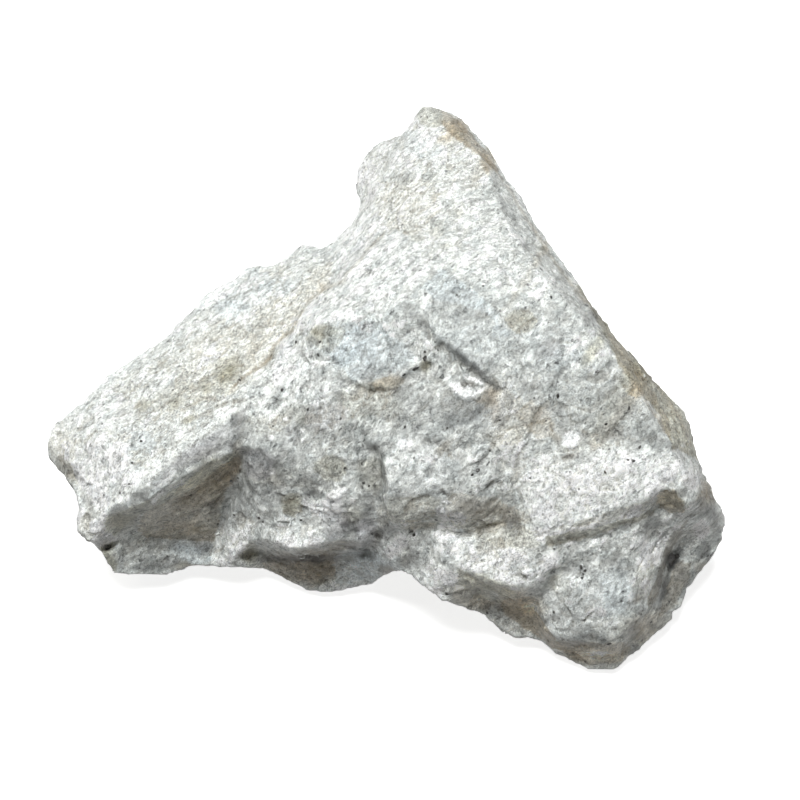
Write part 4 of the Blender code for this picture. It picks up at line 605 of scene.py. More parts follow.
    (225, 462, 14, 7, 30, 1.44), (193, 482, 14, 6, 30, 1.24), (168, 494, 12, 6, 0, 1.20), (63, 455, 8, 6, -40, 1.30),
    (90, 486, 9, 9, -30, 1.24), (116, 465, 8, 20, 0, 1.14), (102, 538, 10, 7, 20, 1.40), (85, 515, 8, 10, 0, 1.14),
    (146, 530, 12, 8, 0, 1.20), (290, 447, 9, 9, 0, 1.24), (353, 451, 9, 8, 0, 1.44), (372, 456, 10, 10, 0, 1.24),
    (333, 500, 9, 6, 0, 1.34), (330, 515, 20, 6, 0, 1.26), (250, 511, 16, 6, 0, 1.24), (316, 543, 8, 6, 0, 1.34),
    (390, 551, 7, 9, 0, 1.34), (370, 569, 8, 6, 0, 1.24), (415, 501, 14, 6, 0, 1.20), (410, 523, 12, 6, -20, 1.24),
    (450, 515, 16, 6, 0, 1.30), (462, 447, 10, 6, 0, 1.24), (432, 462, 6, 9, 30, 1.26), (426, 440, 6, 6, 0, 1.22),
    (505, 455, 12, 14, 0, 1.16), (570, 480, 12, 10, 0, 1.14), (595, 478, 14, 10, 0, 1.14), (660, 498, 14, 8, 0, 1.26),
    (638, 510, 12, 5, 20, 1.24), (701, 532, 9, 9, 0, 1.44), (698, 545, 6, 10, 20, 1.24), (564, 555, 8, 6, 0, 1.24),
    (640, 583, 9, 8, 0, 1.34), (652, 600, 7, 10, 0, 1.28), (676, 574, 6, 6, 0, 1.30), (660, 540, 9, 8, 0, 1.18),
    (510, 592, 12, 6, 0, 1.20), (530, 612, 10, 8, 0, 1.20), (624, 615, 7, 6, 0, 1.22), (470, 585, 18, 8, 0, 1.16),
    (635, 395, 6, 14, -20, 1.18), (686, 438, 6, 12, -30, 1.18), (502, 400, 7, 7, 0, 1.34), (455, 366, 10, 5, -40, 1.24),
    (540, 520, 14, 16, 0, 1.10), (230, 290, 36, 12, 20, 1.06),
    (74, 471, 5, 16, 38, 1.36), (60, 480, 5, 18, 38, 0.72), (225, 470, 9, 8, 30, 1.30), (222, 506, 18, 12, 0, 0.74),
    (268, 497, 9, 7, 0, 0.66), (258, 495, 16, 8, 0, 0.84), (310, 558, 34, 4, 0, 0.66), (340, 554, 16, 5, -20, 0.74),
    (368, 546, 12, 5, -20, 0.68), (388, 572, 12, 5, -30, 0.74), (95, 485, 16, 10, 0, 1.14), (104, 540, 8, 6, 30, 1.40),
    (318, 495, 12, 5, 0, 0.74), (240, 420, 14, 8, 0, 0.90), (405, 430, 16, 7, 0, 0.80), (536, 525, 10, 5, -20, 0.74),
    (650, 508, 12, 4, -10, 1.30), (640, 514, 8, 5, -20, 1.34), (702, 531, 8, 7, 0, 1.30), (487, 163, 7, 9, -30, 1.16),
    (485, 378, 10, 4, -40, 1.30), (462, 366, 12, 4, -40, 1.26), (330, 501, 8, 5, 0, 1.24), (336, 513, 22, 5, 0, 1.20),
    (392, 553, 6, 8, 0, 1.34), (250, 554, 8, 4, -20, 1.34), (376, 532, 5, 5, 0, 1.30), (452, 516, 14, 5, 0, 1.16),
    (230, 440, 60, 12, 20, 0.94), (140, 430, 60, 30, 0, 0.96), (466, 388, 7, 6, 0, 0.78), (494, 379, 7, 5, 0, 0.78),
    (520, 545, 10, 8, 0, 0.82), (455, 460, 60, 30, 0, 0.95), (545, 430, 30, 30, 0, 0.95), (620, 450, 40, 20, 0, 0.95),
    (660, 600, 5, 5, 0, 0.74), (633, 628, 12, 6, -40, 0.80), (604, 646, 12, 8, 0, 0.80), (483, 628, 12, 5, 20, 1.24),
    (465, 360, 42, 4, -42, 0.56), (470, 388, 12, 5, 0, 1.16), (200, 470, 60, 8, 35, 1.06),
    (442, 345, 9, 6, -40, 0.66), (458, 357, 15, 6, -42, 0.66), (479, 372, 15, 6, -42, 0.66), (495, 384, 8, 6, -42, 0.72),
    (470, 368, 30, 18, -40, 0.88), (536, 357, 12, 7, 0, 0.84), (227, 523, 22, 6, 0, 0.74), (367, 515, 8, 9, 0, 0.64),
    (386, 531, 10, 6, -30, 0.74), (357, 549, 18, 6, -20, 0.68), (300, 560, 44, 4, 0, 0.72), (390, 569, 14, 5, -35, 0.66),
    (103, 540, 9, 6, 30, 1.44), (92, 490, 14, 9, 0, 1.16), (399, 549, 7, 9, 0, 1.26), (633, 526, 18, 5, 10, 0.78),
    (719, 532, 5, 14, 10, 0.76), (698, 567, 7, 10, 35, 0.76), (654, 628, 12, 7, -40, 0.78), (628, 652, 9, 6, -30, 0.80),
    (483, 611, 12, 5, 20, 0.78), (455, 602, 14, 5, 20, 0.80), (671, 561, 8, 10, 0, 0.10), (678, 552, 5, 5, 0, 0.25),
    (185, 566, 40, 4, 0, 0.78), (333, 500, 9, 6, 0, 1.30), (330, 517, 14, 5, 0, 1.20), (518, 335, 6, 12, 0, 1.14),
    (366, 327, 9, 7, 0, 1.18), (414, 344, 8, 6, 0, 1.18), (303, 331, 6, 6, 0, 1.14), (415, 482, 20, 8, 0, 0.84),
    (362, 232, 26, 26, 0, 1.05), (308, 377, 18, 18, 0, 1.05), (365, 348, 30, 16, 0, 1.05), (500, 556, 44, 14, 0, 1.06),
    (590, 532, 34, 8, 0, 1.14), (215, 360, 30, 20, 30, 1.05), (565, 325, 30, 26, 0, 0.94), (532, 228, 12, 14, -40, 0.94),
]


# Broken faces and crusts with sharp borders: kind, strength, how granular, how flat, outline on the sheet. Some dark,
# olive and brown faces, in the recess under the slab's lip, in the right-hand slot and hollow and on the undersides of
# the lower blocks, are partly painted shade.
FACES = [
    # slab
    ("blue", 0.35, 0.35, 0.3, [(196, 300), (205, 285), (222, 272), (245, 268), (268, 272), (272, 290), (262, 304), (240, 312), (215, 314)]),
    ("blue", 0.35, 0.3, 0.4, [(213, 305), (228, 298), (248, 302), (251, 314), (240, 322), (222, 318)]),
    ("cream", 0.55, 1.0, 0.0, [(251, 330), (256, 312), (272, 302), (290, 296), (304, 282), (318, 266), (332, 262), (330, 280), (312, 298), (299, 316), (292, 331), (278, 340), (268, 358), (252, 368), (240, 372)]),
    ("cream", 0.4, 0.7, 0.3, [(187, 345), (205, 332), (228, 326), (250, 332), (262, 342), (256, 358), (236, 366), (214, 362), (196, 360)]),
    ("olive", 0.45, 1.0, 0.0, [(211, 372), (220, 358), (236, 356), (246, 366), (240, 382), (228, 394), (214, 396)]),
    ("olive", 0.28, 1.0, 0.0, [(148, 400), (160, 388), (180, 380), (200, 384), (214, 390), (206, 402), (190, 410), (168, 412), (154, 410)]),
    ("white", 0.7, 0.25, 0.5, [(90, 410), (104, 398), (122, 394), (134, 404), (132, 420), (116, 430), (98, 428)]),
    ("white", 0.6, 0.3, 0.5, [(156, 390), (163, 378), (174, 374), (175, 388), (164, 396)]),
    ("white", 0.7, 0.2, 0.5, [(199, 354), (206, 345), (217, 346), (213, 356)]),
    ("white", 0.7, 0.4, 0.2, [(66, 424), (75, 416), (94, 411), (103, 416), (102, 427), (91, 430), (80, 427), (70, 430)]),
    ("cream", 0.6, 0.6, 0.2, [(48, 446), (54, 427), (64, 421), (68, 430), (71, 441), (75, 451), (76, 465), (72, 478), (64, 473), (54, 459)]),
    ("white", 0.8, 0.25, 0.6, [(75, 451), (91, 446), (110, 443), (121, 441), (129, 449), (129, 462), (140, 476), (129, 489), (113, 507), (102, 511), (89, 505), (81, 492), (76, 476)]),
    ("blue", 0.5, 0.2, 0.5, [(132, 432), (148, 431), (156, 443), (148, 457), (137, 459), (129, 451)]),
    ("olive", 0.25, 1.0, 0.0, [(131, 450), (148, 448), (150, 462), (138, 466)]),
    ("white", 0.45, 0.6, 0.3, [(148, 457), (158, 446), (172, 436), (190, 424), (204, 414), (222, 408), (236, 406), (224, 416), (204, 430), (186, 442), (168, 456), (152, 472), (141, 474)]),
    ("lilac", 0.38, 0.1, 0.0, [(152, 492), (164, 474), (178, 462), (195, 446), (212, 432), (230, 420), (244, 408), (250, 416), (240, 430), (236, 446), (222, 452), (206, 460), (190, 468), (176, 478), (164, 488)]),
    ("grey", 0.6, 0.15, 0.0, [(141, 503), (152, 492), (170, 478), (191, 464), (206, 460), (200, 470), (186, 482), (167, 494), (150, 502)]),
    ("olive", 0.65, 0.4, 0.0, [(105, 518), (129, 509), (143, 503), (159, 497), (176, 488), (195, 474), (214, 460), (238, 450), (240, 458), (222, 468), (200, 484), (180, 496), (158, 508), (143, 513), (129, 522), (116, 535), (105, 540)]),
    ("cream", 0.5, 0.4, 0.3, [(93, 527), (80, 530), (78, 522), (81, 511), (91, 508), (105, 511), (102, 519), (95, 526)]),
    ("brown", 0.55, 0.6, 0.0, [(143, 513), (159, 506), (180, 496), (202, 482), (222, 466), (240, 456), (240, 472), (226, 489), (221, 508), (218, 527), (213, 541), (191, 541), (170, 539), (148, 538), (137, 530)]),
    ("dark", 0.45, 0.7, 0.0, [(180, 498), (202, 484), (222, 468), (240, 458), (243, 468), (236, 482), (224, 492), (216, 504), (196, 510), (182, 508)]),
    ("blue", 0.6, 0.3, 0.3, [(170, 541), (191, 542), (213, 543), (213, 562), (191, 565), (180, 559), (170, 551)]),
    ("grey", 0.5, 0.4, 0.3, [(118, 551), (132, 541), (148, 539), (164, 546), (167, 562), (159, 573), (140, 573), (124, 568)]),
    ("olive", 0.6, 0.5, 0.0, [(98, 546), (110, 551), (118, 568), (113, 573), (105, 559)]),
    ("white", 0.8, 0.7, 0.2, [(221, 527), (229, 516), (242, 512), (256, 522), (254, 536), (244, 548), (236, 562), (213, 562), (210, 551), (217, 541)]),
    # ridge and middle
    ("white", 0.6, 0.15, 0.3, [(300, 321), (303, 305), (316, 296), (330, 288), (345, 284), (342, 300), (334, 312), (326, 322), (313, 327)]),
    ("white", 0.7, 0.1, 0.5, [(273, 362), (281, 350), (290, 345), (304, 352), (318, 360), (328, 372), (334, 390), (333, 402), (316, 408), (298, 406), (284, 392)]),
    ("white", 0.5, 0.3, 0.4, [(245, 392), (252, 384), (264, 382), (272, 390), (268, 404), (254, 408)]),
    ("white", 0.7, 0.12, 0.3, [(343, 293), (347, 277), (360, 262), (373, 243), (388, 234), (400, 230), (417, 247), (428, 267), (423, 283), (406, 287), (390, 289), (372, 288), (358, 290)]),
    ("blue", 0.6, 0.25, 0.3, [(423, 287), (440, 267), (452, 274), (467, 287), (484, 300), (500, 313), (499, 328), (484, 312), (460, 304), (436, 302)]),
    ("grey", 0.75, 0.2, 0.4, [(428, 322), (436, 302), (460, 304), (484, 312), (499, 328), (506, 348), (501, 382), (484, 369), (460, 352), (442, 338)]),
    ("grey", 0.55, 0.35, 0.0, [(428, 324), (442, 340), (460, 355), (484, 372), (499, 385), (500, 392), (486, 390), (468, 380), (452, 368), (438, 352), (428, 340)]),
    ("white", 0.55, 0.2, 0.4, [(399, 340), (410, 333), (422, 336), (433, 346), (430, 356), (420, 361), (407, 350)]),
    ("blue", 0.55, 0.25, 0.3, [(323, 330), (338, 322), (363, 322), (387, 334), (402, 342), (418, 358), (408, 366), (390, 375), (375, 381), (353, 381), (336, 362), (324, 346)]),
    ("olive", 0.4, 0.5, 0.2, [(305, 340), (317, 325), (332, 328), (346, 324), (344, 338), (331, 352), (322, 349)]),
    ("brown", 0.45, 0.4, 0.3, [(372, 384), (386, 377), (399, 376), (406, 380), (398, 389), (384, 392), (375, 390)]),
    ("grey", 0.7, 0.3, 0.5, [(405, 388), (420, 380), (436, 374), (448, 384), (456, 398), (468, 402), (480, 400), (482, 412), (466, 422), (446, 428), (425, 432), (406, 420), (396, 406)]),
    ("dark", 0.5, 0.5, 0.2, [(468, 396), (480, 388), (492, 392), (494, 404), (484, 408), (474, 402)]),
    ("grey", 0.6, 0.12, 0.4, [(341, 430), (352, 418), (370, 414), (386, 420), (388, 436), (374, 450), (358, 452), (344, 446)]),
    ("lilac", 0.5, 0.6, 0.0, [(306, 412), (322, 402), (342, 404), (350, 414), (338, 428), (318, 432), (306, 424)]),
    ("olive", 0.5, 0.5, 0.2, [(314, 463), (324, 456), (342, 457), (348, 468), (340, 482), (326, 480), (315, 472)]),
    ("white", 0.5, 0.1, 0.4, [(384, 452), (398, 446), (414, 440), (432, 450), (446, 462), (454, 476), (444, 492), (424, 496), (400, 494), (386, 484)]),
    ("olive", 0.45, 0.8, 0.0, [(388, 498), (408, 498), (430, 494), (440, 500), (436, 516), (420, 521), (400, 523), (386, 520)]),
    ("cream", 0.45, 1.0, 0.0, [(496, 392), (504, 386), (520, 396), (534, 412), (530, 430), (520, 446), (504, 444), (498, 424)]),
    ("white", 0.4, 0.5, 0.2, [(300, 428), (318, 430), (338, 432), (350, 444), (346, 454), (328, 452), (306, 446)]),
    ("lilac", 0.55, 0.15, 0.4, [(244, 452), (256, 448), (266, 448), (275, 462), (276, 474), (262, 481), (248, 478), (242, 464)]),
    ("grey", 0.6, 0.3, 0.3, [(276, 466), (290, 462), (304, 470), (317, 484), (314, 492), (292, 487), (278, 478)]),
    ("olive", 0.75, 0.6, 0.0, [(281, 497), (290, 492), (302, 497), (303, 510), (294, 517), (283, 513)]),
    ("white", 0.7, 0.6, 0.2, [(265, 532), (280, 525), (300, 523), (312, 526), (322, 538), (318, 546), (300, 550), (277, 545)]),
    ("lilac", 0.55, 0.12, 0.3, [(320, 517), (334, 510), (346, 514), (349, 524), (345, 536), (330, 541), (322, 532)]),
    ("lilac", 0.5, 0.12, 0.4, [(356, 524), (364, 517), (374, 520), (377, 534), (372, 545), (360, 545)]),
    ("cream", 0.4, 0.3, 0.4, [(376, 506), (384, 503), (389, 512), (388, 526), (378, 528)]),
    ("white", 0.5, 0.2, 0.5, [(380, 548), (388, 542), (397, 545), (398, 556), (390, 561), (381, 557)]),
    ("blue", 0.6, 0.4, 0.2, [(334, 556), (352, 552), (372, 552), (380, 562), (372, 576), (352, 584), (336, 584)]),
    # top
    ("olive", 0.5, 1.0, 0.0, [(417, 116), (423, 107), (434, 105), (442, 110), (444, 124), (434, 128), (420, 124)]),
    ("brown", 0.7, 1.0, 0.0, [(442, 108), (456, 118), (468, 130), (480, 144), (490, 158), (499, 168), (498, 174), (486, 162), (472, 150), (457, 139), (444, 128)]),
    ("cream", 0.45, 1.0, 0.0, [(374, 200), (388, 184), (406, 178), (428, 180), (440, 194), (436, 214), (424, 232), (408, 236), (392, 226), (378, 214)]),
    ("cream", 0.6, 0.1, 0.3, [(430, 224), (436, 216), (443, 220), (444, 234), (436, 240), (430, 234)]),
    ("cream", 0.5, 0.1, 0.3, [(452, 202), (458, 196), (464, 204), (463, 216), (455, 218)]),
    ("blue", 0.3, 0.2, 0.2, [(402, 132), (420, 130), (436, 136), (444, 150), (436, 160), (418, 158), (404, 148)]),
    ("white", 0.6, 0.6, 0.0, [(442, 160), (460, 150), (478, 160), (486, 176), (478, 188), (462, 186), (448, 178)]),
    ("grey", 0.3, 0.15, 0.0, [(487, 180), (497, 172), (508, 190), (522, 212), (540, 240), (560, 268), (580, 298), (588, 312), (576, 308), (556, 284), (536, 260), (516, 232), (500, 206)]),
    ("white", 0.6, 0.3, 0.2, [(500, 214), (514, 234), (530, 256), (546, 278), (552, 296), (540, 300), (520, 290), (500, 276), (486, 258), (484, 236)]),
    # right
    ("olive", 0.5, 0.9, 0.0, [(504, 318), (514, 310), (530, 310), (538, 320), (530, 332), (514, 334)]),
    ("blue", 0.6, 0.15, 0.3, [(492, 326), (504, 324), (509, 332), (500, 338), (493, 336)]),
    ("lilac", 0.35, 0.3, 0.4, [(536, 346), (544, 338), (556, 338), (566, 346), (560, 358), (546, 360)]),
    ("white", 0.55, 0.25, 0.2, [(507, 386), (516, 376), (532, 372), (543, 378), (538, 392), (520, 396)]),
    ("grey", 0.6, 0.35, 0.3, [(565, 376), (584, 369), (602, 370), (616, 374), (624, 389), (638, 402), (653, 414), (664, 434), (650, 446), (636, 443), (624, 440), (599, 443), (592, 432), (584, 423), (564, 423), (556, 406), (559, 389)]),
    ("brown", 0.35, 0.8, 0.0, [(514, 412), (530, 402), (546, 408), (556, 422), (552, 436), (538, 440), (526, 430)]),
    ("white", 0.5, 0.3, 0.3, [(561, 433), (572, 429), (583, 434), (585, 446), (574, 452), (563, 446)]),
    ("brown", 0.55, 0.5, 0.0, [(560, 458), (570, 450), (582, 450), (578, 458), (566, 463)]),
    ("olive", 0.75, 1.0, 0.0, [(576, 286), (584, 297), (604, 334), (619, 363), (644, 394), (661, 417), (667, 434), (672, 448), (690, 455), (699, 462), (696, 443), (692, 425), (678, 396), (652, 364), (629, 338), (602, 308), (585, 286)]),
    ("brown", 0.45, 1.0, 0.0, [(606, 330), (622, 346), (640, 372), (656, 396), (668, 420), (672, 440), (664, 432), (650, 410), (634, 386), (618, 362)]),
    # lower right
    ("white", 0.8, 0.6, 0.0, [(526, 465), (559, 454), (597, 445), (620, 448), (618, 470), (622, 490), (618, 501), (600, 507), (582, 512), (562, 520), (544, 525), (526, 517), (518, 489)]),
    ("white", 0.75, 0.15, 0.3, [(621, 468), (629, 454), (647, 454), (656, 465), (653, 483), (640, 495), (624, 488)]),
    ("white", 0.7, 0.4, 0.2, [(665, 456), (682, 459), (696, 472), (703, 488), (697, 500), (691, 507), (682, 500), (674, 488), (662, 484), (659, 468)]),
    ("brown", 0.6, 0.6, 0.0, [(656, 495), (664, 490), (674, 490), (682, 502), (686, 512), (671, 514), (659, 509)]),
    ("cream", 0.6, 0.5, 0.0, [(559, 527), (588, 518), (618, 509), (646, 501), (656, 499), (652, 508), (629, 516), (597, 526), (565, 534)]),
    ("olive", 0.7, 0.6, 0.0, [(547, 536), (565, 533), (597, 527), (629, 518), (652, 509), (656, 512), (638, 521), (612, 531), (582, 540), (560, 545), (545, 545)]),
    ("white", 0.45, 0.15, 0.4, [(609, 540), (624, 531), (641, 526), (645, 537), (632, 551), (624, 549)]),
    ("white", 0.3, 0.15, 0.4, [(660, 518), (672, 515), (684, 518), (676, 533), (666, 542), (655, 539)]),
    ("dark", 0.7, 0.4, 0.0, [(688, 519), (682, 532), (672, 548), (666, 560), (662, 580), (656, 600), (650, 612), (648, 600), (656, 578), (662, 556), (668, 540), (678, 528)]),
    ("white", 0.4, 0.3, 0.4, [(694, 524), (708, 528), (706, 540), (694, 552), (684, 554), (682, 546), (690, 534)]),
    ("brown", 0.4, 0.5, 0.2, [(676, 562), (691, 562), (688, 583), (674, 606), (659, 618), (664, 596)]),
    ("white", 0.45, 0.5, 0.3, [(571, 574), (588, 571), (597, 583), (603, 595), (600, 618), (620, 621), (614, 634), (594, 637), (574, 636), (552, 632), (546, 618), (553, 595), (559, 577)]),
    ("blue", 0.4, 0.25, 0.4, [(600, 572), (612, 566), (628, 572), (630, 590), (624, 612), (606, 616), (603, 596)]),
    ("olive", 0.35, 0.5, 0.0, [(640, 560), (652, 556), (656, 572), (648, 594), (638, 606), (632, 590)]),
    ("brown", 0.75, 0.5, 0.0, [(500, 600), (516, 598), (532, 606), (544, 622), (556, 640), (570, 652), (552, 648), (536, 636), (518, 624), (502, 612)]),
    ("brown", 0.5, 0.7, 0.0, [(556, 640), (590, 643), (620, 642), (634, 648), (620, 662), (590, 666), (566, 656)]),
    ("brown", 0.35, 0.7, 0.0, [(446, 492), (478, 496), (500, 500), (524, 512), (532, 522), (512, 524), (490, 528), (470, 532), (456, 528), (446, 516)]),
    ("olive", 0.3, 1.0, 0.0, [(476, 530), (496, 522), (520, 524), (538, 532), (540, 546), (520, 548), (498, 548), (482, 542)]),
    ("white", 0.7, 0.4, 0.2, [(434, 530), (450, 528), (466, 536), (474, 550), (466, 560), (450, 554), (440, 544)]),
    ("white", 0.55, 0.7, 0.0, [(470, 554), (490, 548), (516, 550), (540, 558), (548, 566), (540, 576), (518, 582), (496, 580), (478, 572), (466, 562)]),
    ("white", 0.3, 0.4, 0.3, [(402, 548), (420, 548), (438, 560), (450, 574), (454, 588), (440, 586), (424, 572), (410, 562)]),
    ("olive", 0.7, 0.4, 0.0, [(456, 566), (476, 578), (496, 586), (514, 590), (516, 598), (496, 602), (474, 596), (458, 584)]),
    ("cream", 0.3, 0.6, 0.2, [(480, 614), (500, 616), (520, 624), (530, 636), (512, 634), (494, 626)]),
]


EYE = np.array((
    TARGET[0],
    TARGET[1] - SIGHT_DISTANCE * math.cos(SIGHT_ELEVATION),
    TARGET[2] + SIGHT_DISTANCE * math.sin(SIGHT_ELEVATION),
))
FORWARD = np.array((0.0, math.cos(SIGHT_ELEVATION), -math.sin(SIGHT_ELEVATION)))
UPWARD = np.array((0.0, math.sin(SIGHT_ELEVATION), math.cos(SIGHT_ELEVATION)))
SHIFT = np.array((BOX_MIDDLE[0], BOX_MIDDLE[1], 0.0))


def sight_lines(col, row):
    a = (col - SHEET_CENTRE) / SHEET_FOCAL
    b = (SHEET_CENTRE - row) / SHEET_FOCAL
    return np.stack([a, FORWARD[1] + b * UPWARD[1], FORWARD[2] + b * UPWARD[2]], -1)


def onto_sheet(p):
    """Column, row and sight-line length of points in mm (before the box is centred)."""
    d = p - EYE
    depth = d @ FORWARD
    return (SHEET_CENTRE + SHEET_FOCAL * d[:, 0] / depth,
            SHEET_CENTRE - SHEET_FOCAL * (d @ UPWARD) / depth, depth)


# ---- noise -----------------------------------------------------------------
def smoothstep(a, b, x):
    t = np.clip((x - a) / (b - a), 0.0, 1.0)
    return t * t * (3.0 - 2.0 * t)


def cell_values(ix, iy, iz, seed, count=3):
    """Repeatable random numbers in [0, 1) for whole-number cells."""
    with np.errstate(over="ignore"):
        h = (ix.astype(np.int64).astype(np.uint64) * np.uint64(0x9E3779B97F4A7C15)
             ^ iy.astype(np.int64).astype(np.uint64) * np.uint64(0xC2B2AE3D27D4EB4F)
             ^ iz.astype(np.int64).astype(np.uint64) * np.uint64(0x165667B19E3779F9)
             ^ np.uint64(seed * 7919 + 12345))
        out = []
        for _ in range(count):
            h ^= h >> np.uint64(30)
            h *= np.uint64(0xBF58476D1CE4E5B9)
            h ^= h >> np.uint64(27)
            h *= np.uint64(0x94D049BB133111EB)
            h ^= h >> np.uint64(31)
            out.append((h >> np.uint64(11)).astype(np.float64) / float(1 << 53))
    return out


def gradient_noise(p, seed=0):
    """Perlin noise, about [-1, 1], for points in noise units."""
    i = np.floor(p).astype(np.int64)
    f = p - i
    u = f * f * f * (f * (f * 6 - 15) + 10)
    total = np.zeros(len(p))
    for dx in (0, 1):
        for dy in (0, 1):
            for dz in (0, 1):
                gx, gy, gz = cell_values(i[:, 0] + dx, i[:, 1] + dy, i[:, 2] + dz, seed)
                dot = ((gx * 2 - 1) * (f[:, 0] - dx) + (gy * 2 - 1) * (f[:, 1] - dy)
                       + (gz * 2 - 1) * (f[:, 2] - dz))
                w = ((u[:, 0] if dx else 1 - u[:, 0]) * (u[:, 1] if dy else 1 - u[:, 1])
                     * (u[:, 2] if dz else 1 - u[:, 2]))
                total += w * dot
    return total * 1.6


def layered_noise(p, size, seed, octaves=4, gain=0.5, ridged=False):
    total = np.zeros(len(p))
    amp, norm = 1.0, 0.0
    for k in range(octaves):
        n = gradient_noise(p * (2.03 ** k / size) + 17.3 * k, seed + k)
        if ridged:
            n = 1.0 - 2.0 * np.abs(n)
        total += amp * n
        norm += amp
        amp *= gain
    return total / norm


def cells(p, seed, jitter=0.9):
    """Nearest and second-nearest jittered cell: id values, offset to the nearest, edge distance."""
    i = np.floor(p).astype(np.int64)
    best = np.full(len(p), 1e9)
    second = np.full(len(p), 1e9)
    off = np.zeros((len(p), 3))
    ids = np.zeros((len(p), 3), np.int64)
    for dx in (-1, 0, 1):
        for dy in (-1, 0, 1):
            for dz in (-1, 0, 1):
                c = i + (dx, dy, dz)
                r = cell_values(c[:, 0], c[:, 1], c[:, 2], seed)
                q = c + 0.5 + (np.stack(r, 1) - 0.5) * jitter
                d = p - q
                s = (d * d).sum(1)
                near = s < best
                second = np.where(near, best, np.minimum(second, s))
                best = np.where(near, s, best)
                off[near] = d[near]
                ids[near] = c[near]
    values = np.stack(cell_values(ids[:, 0], ids[:, 1], ids[:, 2], seed + 991, 4), 1)
    return values, off, np.sqrt(second) - np.sqrt(best)


def facets(p, size, seed, tilt, drop, stretch=None):
    """Relief of broken crystal faces: every cell is a small plane with its own tilt and level."""
    q = p / size if stretch is None else (p @ stretch) / size
    values, off, edge = cells(q, seed)
    slope = (values[:, :3] - 0.5) * 2.0
    return size * ((slope * off).sum(1) * tilt + (values[:, 3] - 0.5) * drop), edge, values


def wave_noise(p, size, seed, waves=14):
    rng = np.random.default_rng(seed)
    total = np.zeros(len(p))
    for _ in range(waves):
        d = rng.normal(size=3)
        d *= rng.uniform(0.6, 1.5) * 2 * math.pi / (size * np.linalg.norm(d))
        total += np.sin(p @ d + rng.uniform(0, 2 * math.pi))
    return total / math.sqrt(waves)


# ---- the sheet's heights ---------------------------------------------------
def triangulated_net():
    points, heights, index, edges = [], [], {}, []

    def add(p):
        key = (p[0], p[1])
        if key not in index:
            index[key] = len(points)
            points.append(Vector(key))
            heights.append(float(p[2]))
        return index[key]

    ring = [add(p) for p in OUTLINE]
    edges += list(zip(ring, ring[1:] + ring[:1]))
    for line in BREAKS.values():
        ids = [add(p) for p in line]
        edges += list(zip(ids, ids[1:]))
    for p in SPOTS:
        add(p)
    verts, _, faces, origin, _, _ = delaunay_2d_cdt(points, edges, [ring], 1, 1e-4)
    z = []
    for v, src in zip(verts, origin):
        if src:
            z.append(sum(heights[s] for s in src) / len(src))
        else:
            near = sorted(((v - p).length, h) for p, h in zip(points, heights))[:2]
            share = [1.0 / max(d, 1e-6) for d, _ in near]
            z.append(sum(s * h for s, (_, h) in zip(share, near)) / sum(share))
    return np.array([(v[0], v[1], h) for v, h in zip(verts, z)]), [f for f in faces if len(f) == 3]


def sheet_of_heights():
    xyz, faces = triangulated_net()
    sheet = np.full((801, 801), np.nan)
    for f in faces:
        a, b, c = xyz[f[0]], xyz[f[1]], xyz[f[2]]
        lo = np.ceil(np.minimum(np.minimum(a, b), c)[:2]).astype(int)
        hi = np.floor(np.maximum(np.maximum(a, b), c)[:2]).astype(int)
        den = (b[1] - c[1]) * (a[0] - c[0]) + (c[0] - b[0]) * (a[1] - c[1])
        if (hi < lo).any() or abs(den) < 1e-9:
            continue
        gx, gy = np.meshgrid(np.arange(lo[0], hi[0] + 1), np.arange(lo[1], hi[1] + 1))
        wa = ((b[1] - c[1]) * (gx - c[0]) + (c[0] - b[0]) * (gy - c[1])) / den
        wb = ((c[1] - a[1]) * (gx - c[0]) + (a[0] - c[0]) * (gy - c[1])) / den
        wc = 1.0 - wa - wb
        inside = (wa >= -1e-6) & (wb >= -1e-6) & (wc >= -1e-6)
        part = sheet[lo[1]:hi[1] + 1, lo[0]:hi[0] + 1]
        part[inside] = (wa * a[2] + wb * b[2] + wc * c[2])[inside]
    return sheet


def blurred(sheet, inside, sigma):
    reach = int(3 * sigma + 1)
    k = np.exp(-0.5 * (np.arange(-reach, reach + 1) / sigma) ** 2)
    k /= k.sum()

    def spread(x):
        for axis in (0, 1):
            p = np.pad(x, [(reach, reach) if a == axis else (0, 0) for a in (0, 1)])
            n = x.shape[axis]
            x = sum(w * (p[i:i + n, :] if axis == 0 else p[:, i:i + n]) for i, w in enumerate(k))
        return x
    return np.where(inside, spread(np.where(inside, sheet, 0.0)) / np.maximum(spread(inside.astype(float)), 1e-6), np.nan)


def grow_outwards(sheet, steps):
    for _ in range(steps):
        hole = np.isnan(sheet)
        total = np.zeros_like(sheet)
        count = np.zeros_like(sheet)
        for dy, dx in ((0, 1), (0, -1), (1, 0), (-1, 0)):
            near = np.roll(sheet, (dy, dx), (0, 1))
            ok = ~np.isnan(near)
            total[ok] += near[ok]
            count[ok] += 1
        fill = hole & (count > 0)
        sheet[fill] = total[fill] / count[fill]
    return sheet


def sample(sheet, col, row):
    x = np.clip(col, 1, 798.999)
    y = np.clip(row, 1, 798.999)
    i, j = x.astype(int), y.astype(int)
    fx, fy = x - i, y - j
    return (sheet[j, i] * (1 - fx) * (1 - fy) + sheet[j, i + 1] * fx * (1 - fy)
            + sheet[j + 1, i] * (1 - fx) * fy + sheet[j + 1, i + 1] * fx * fy)


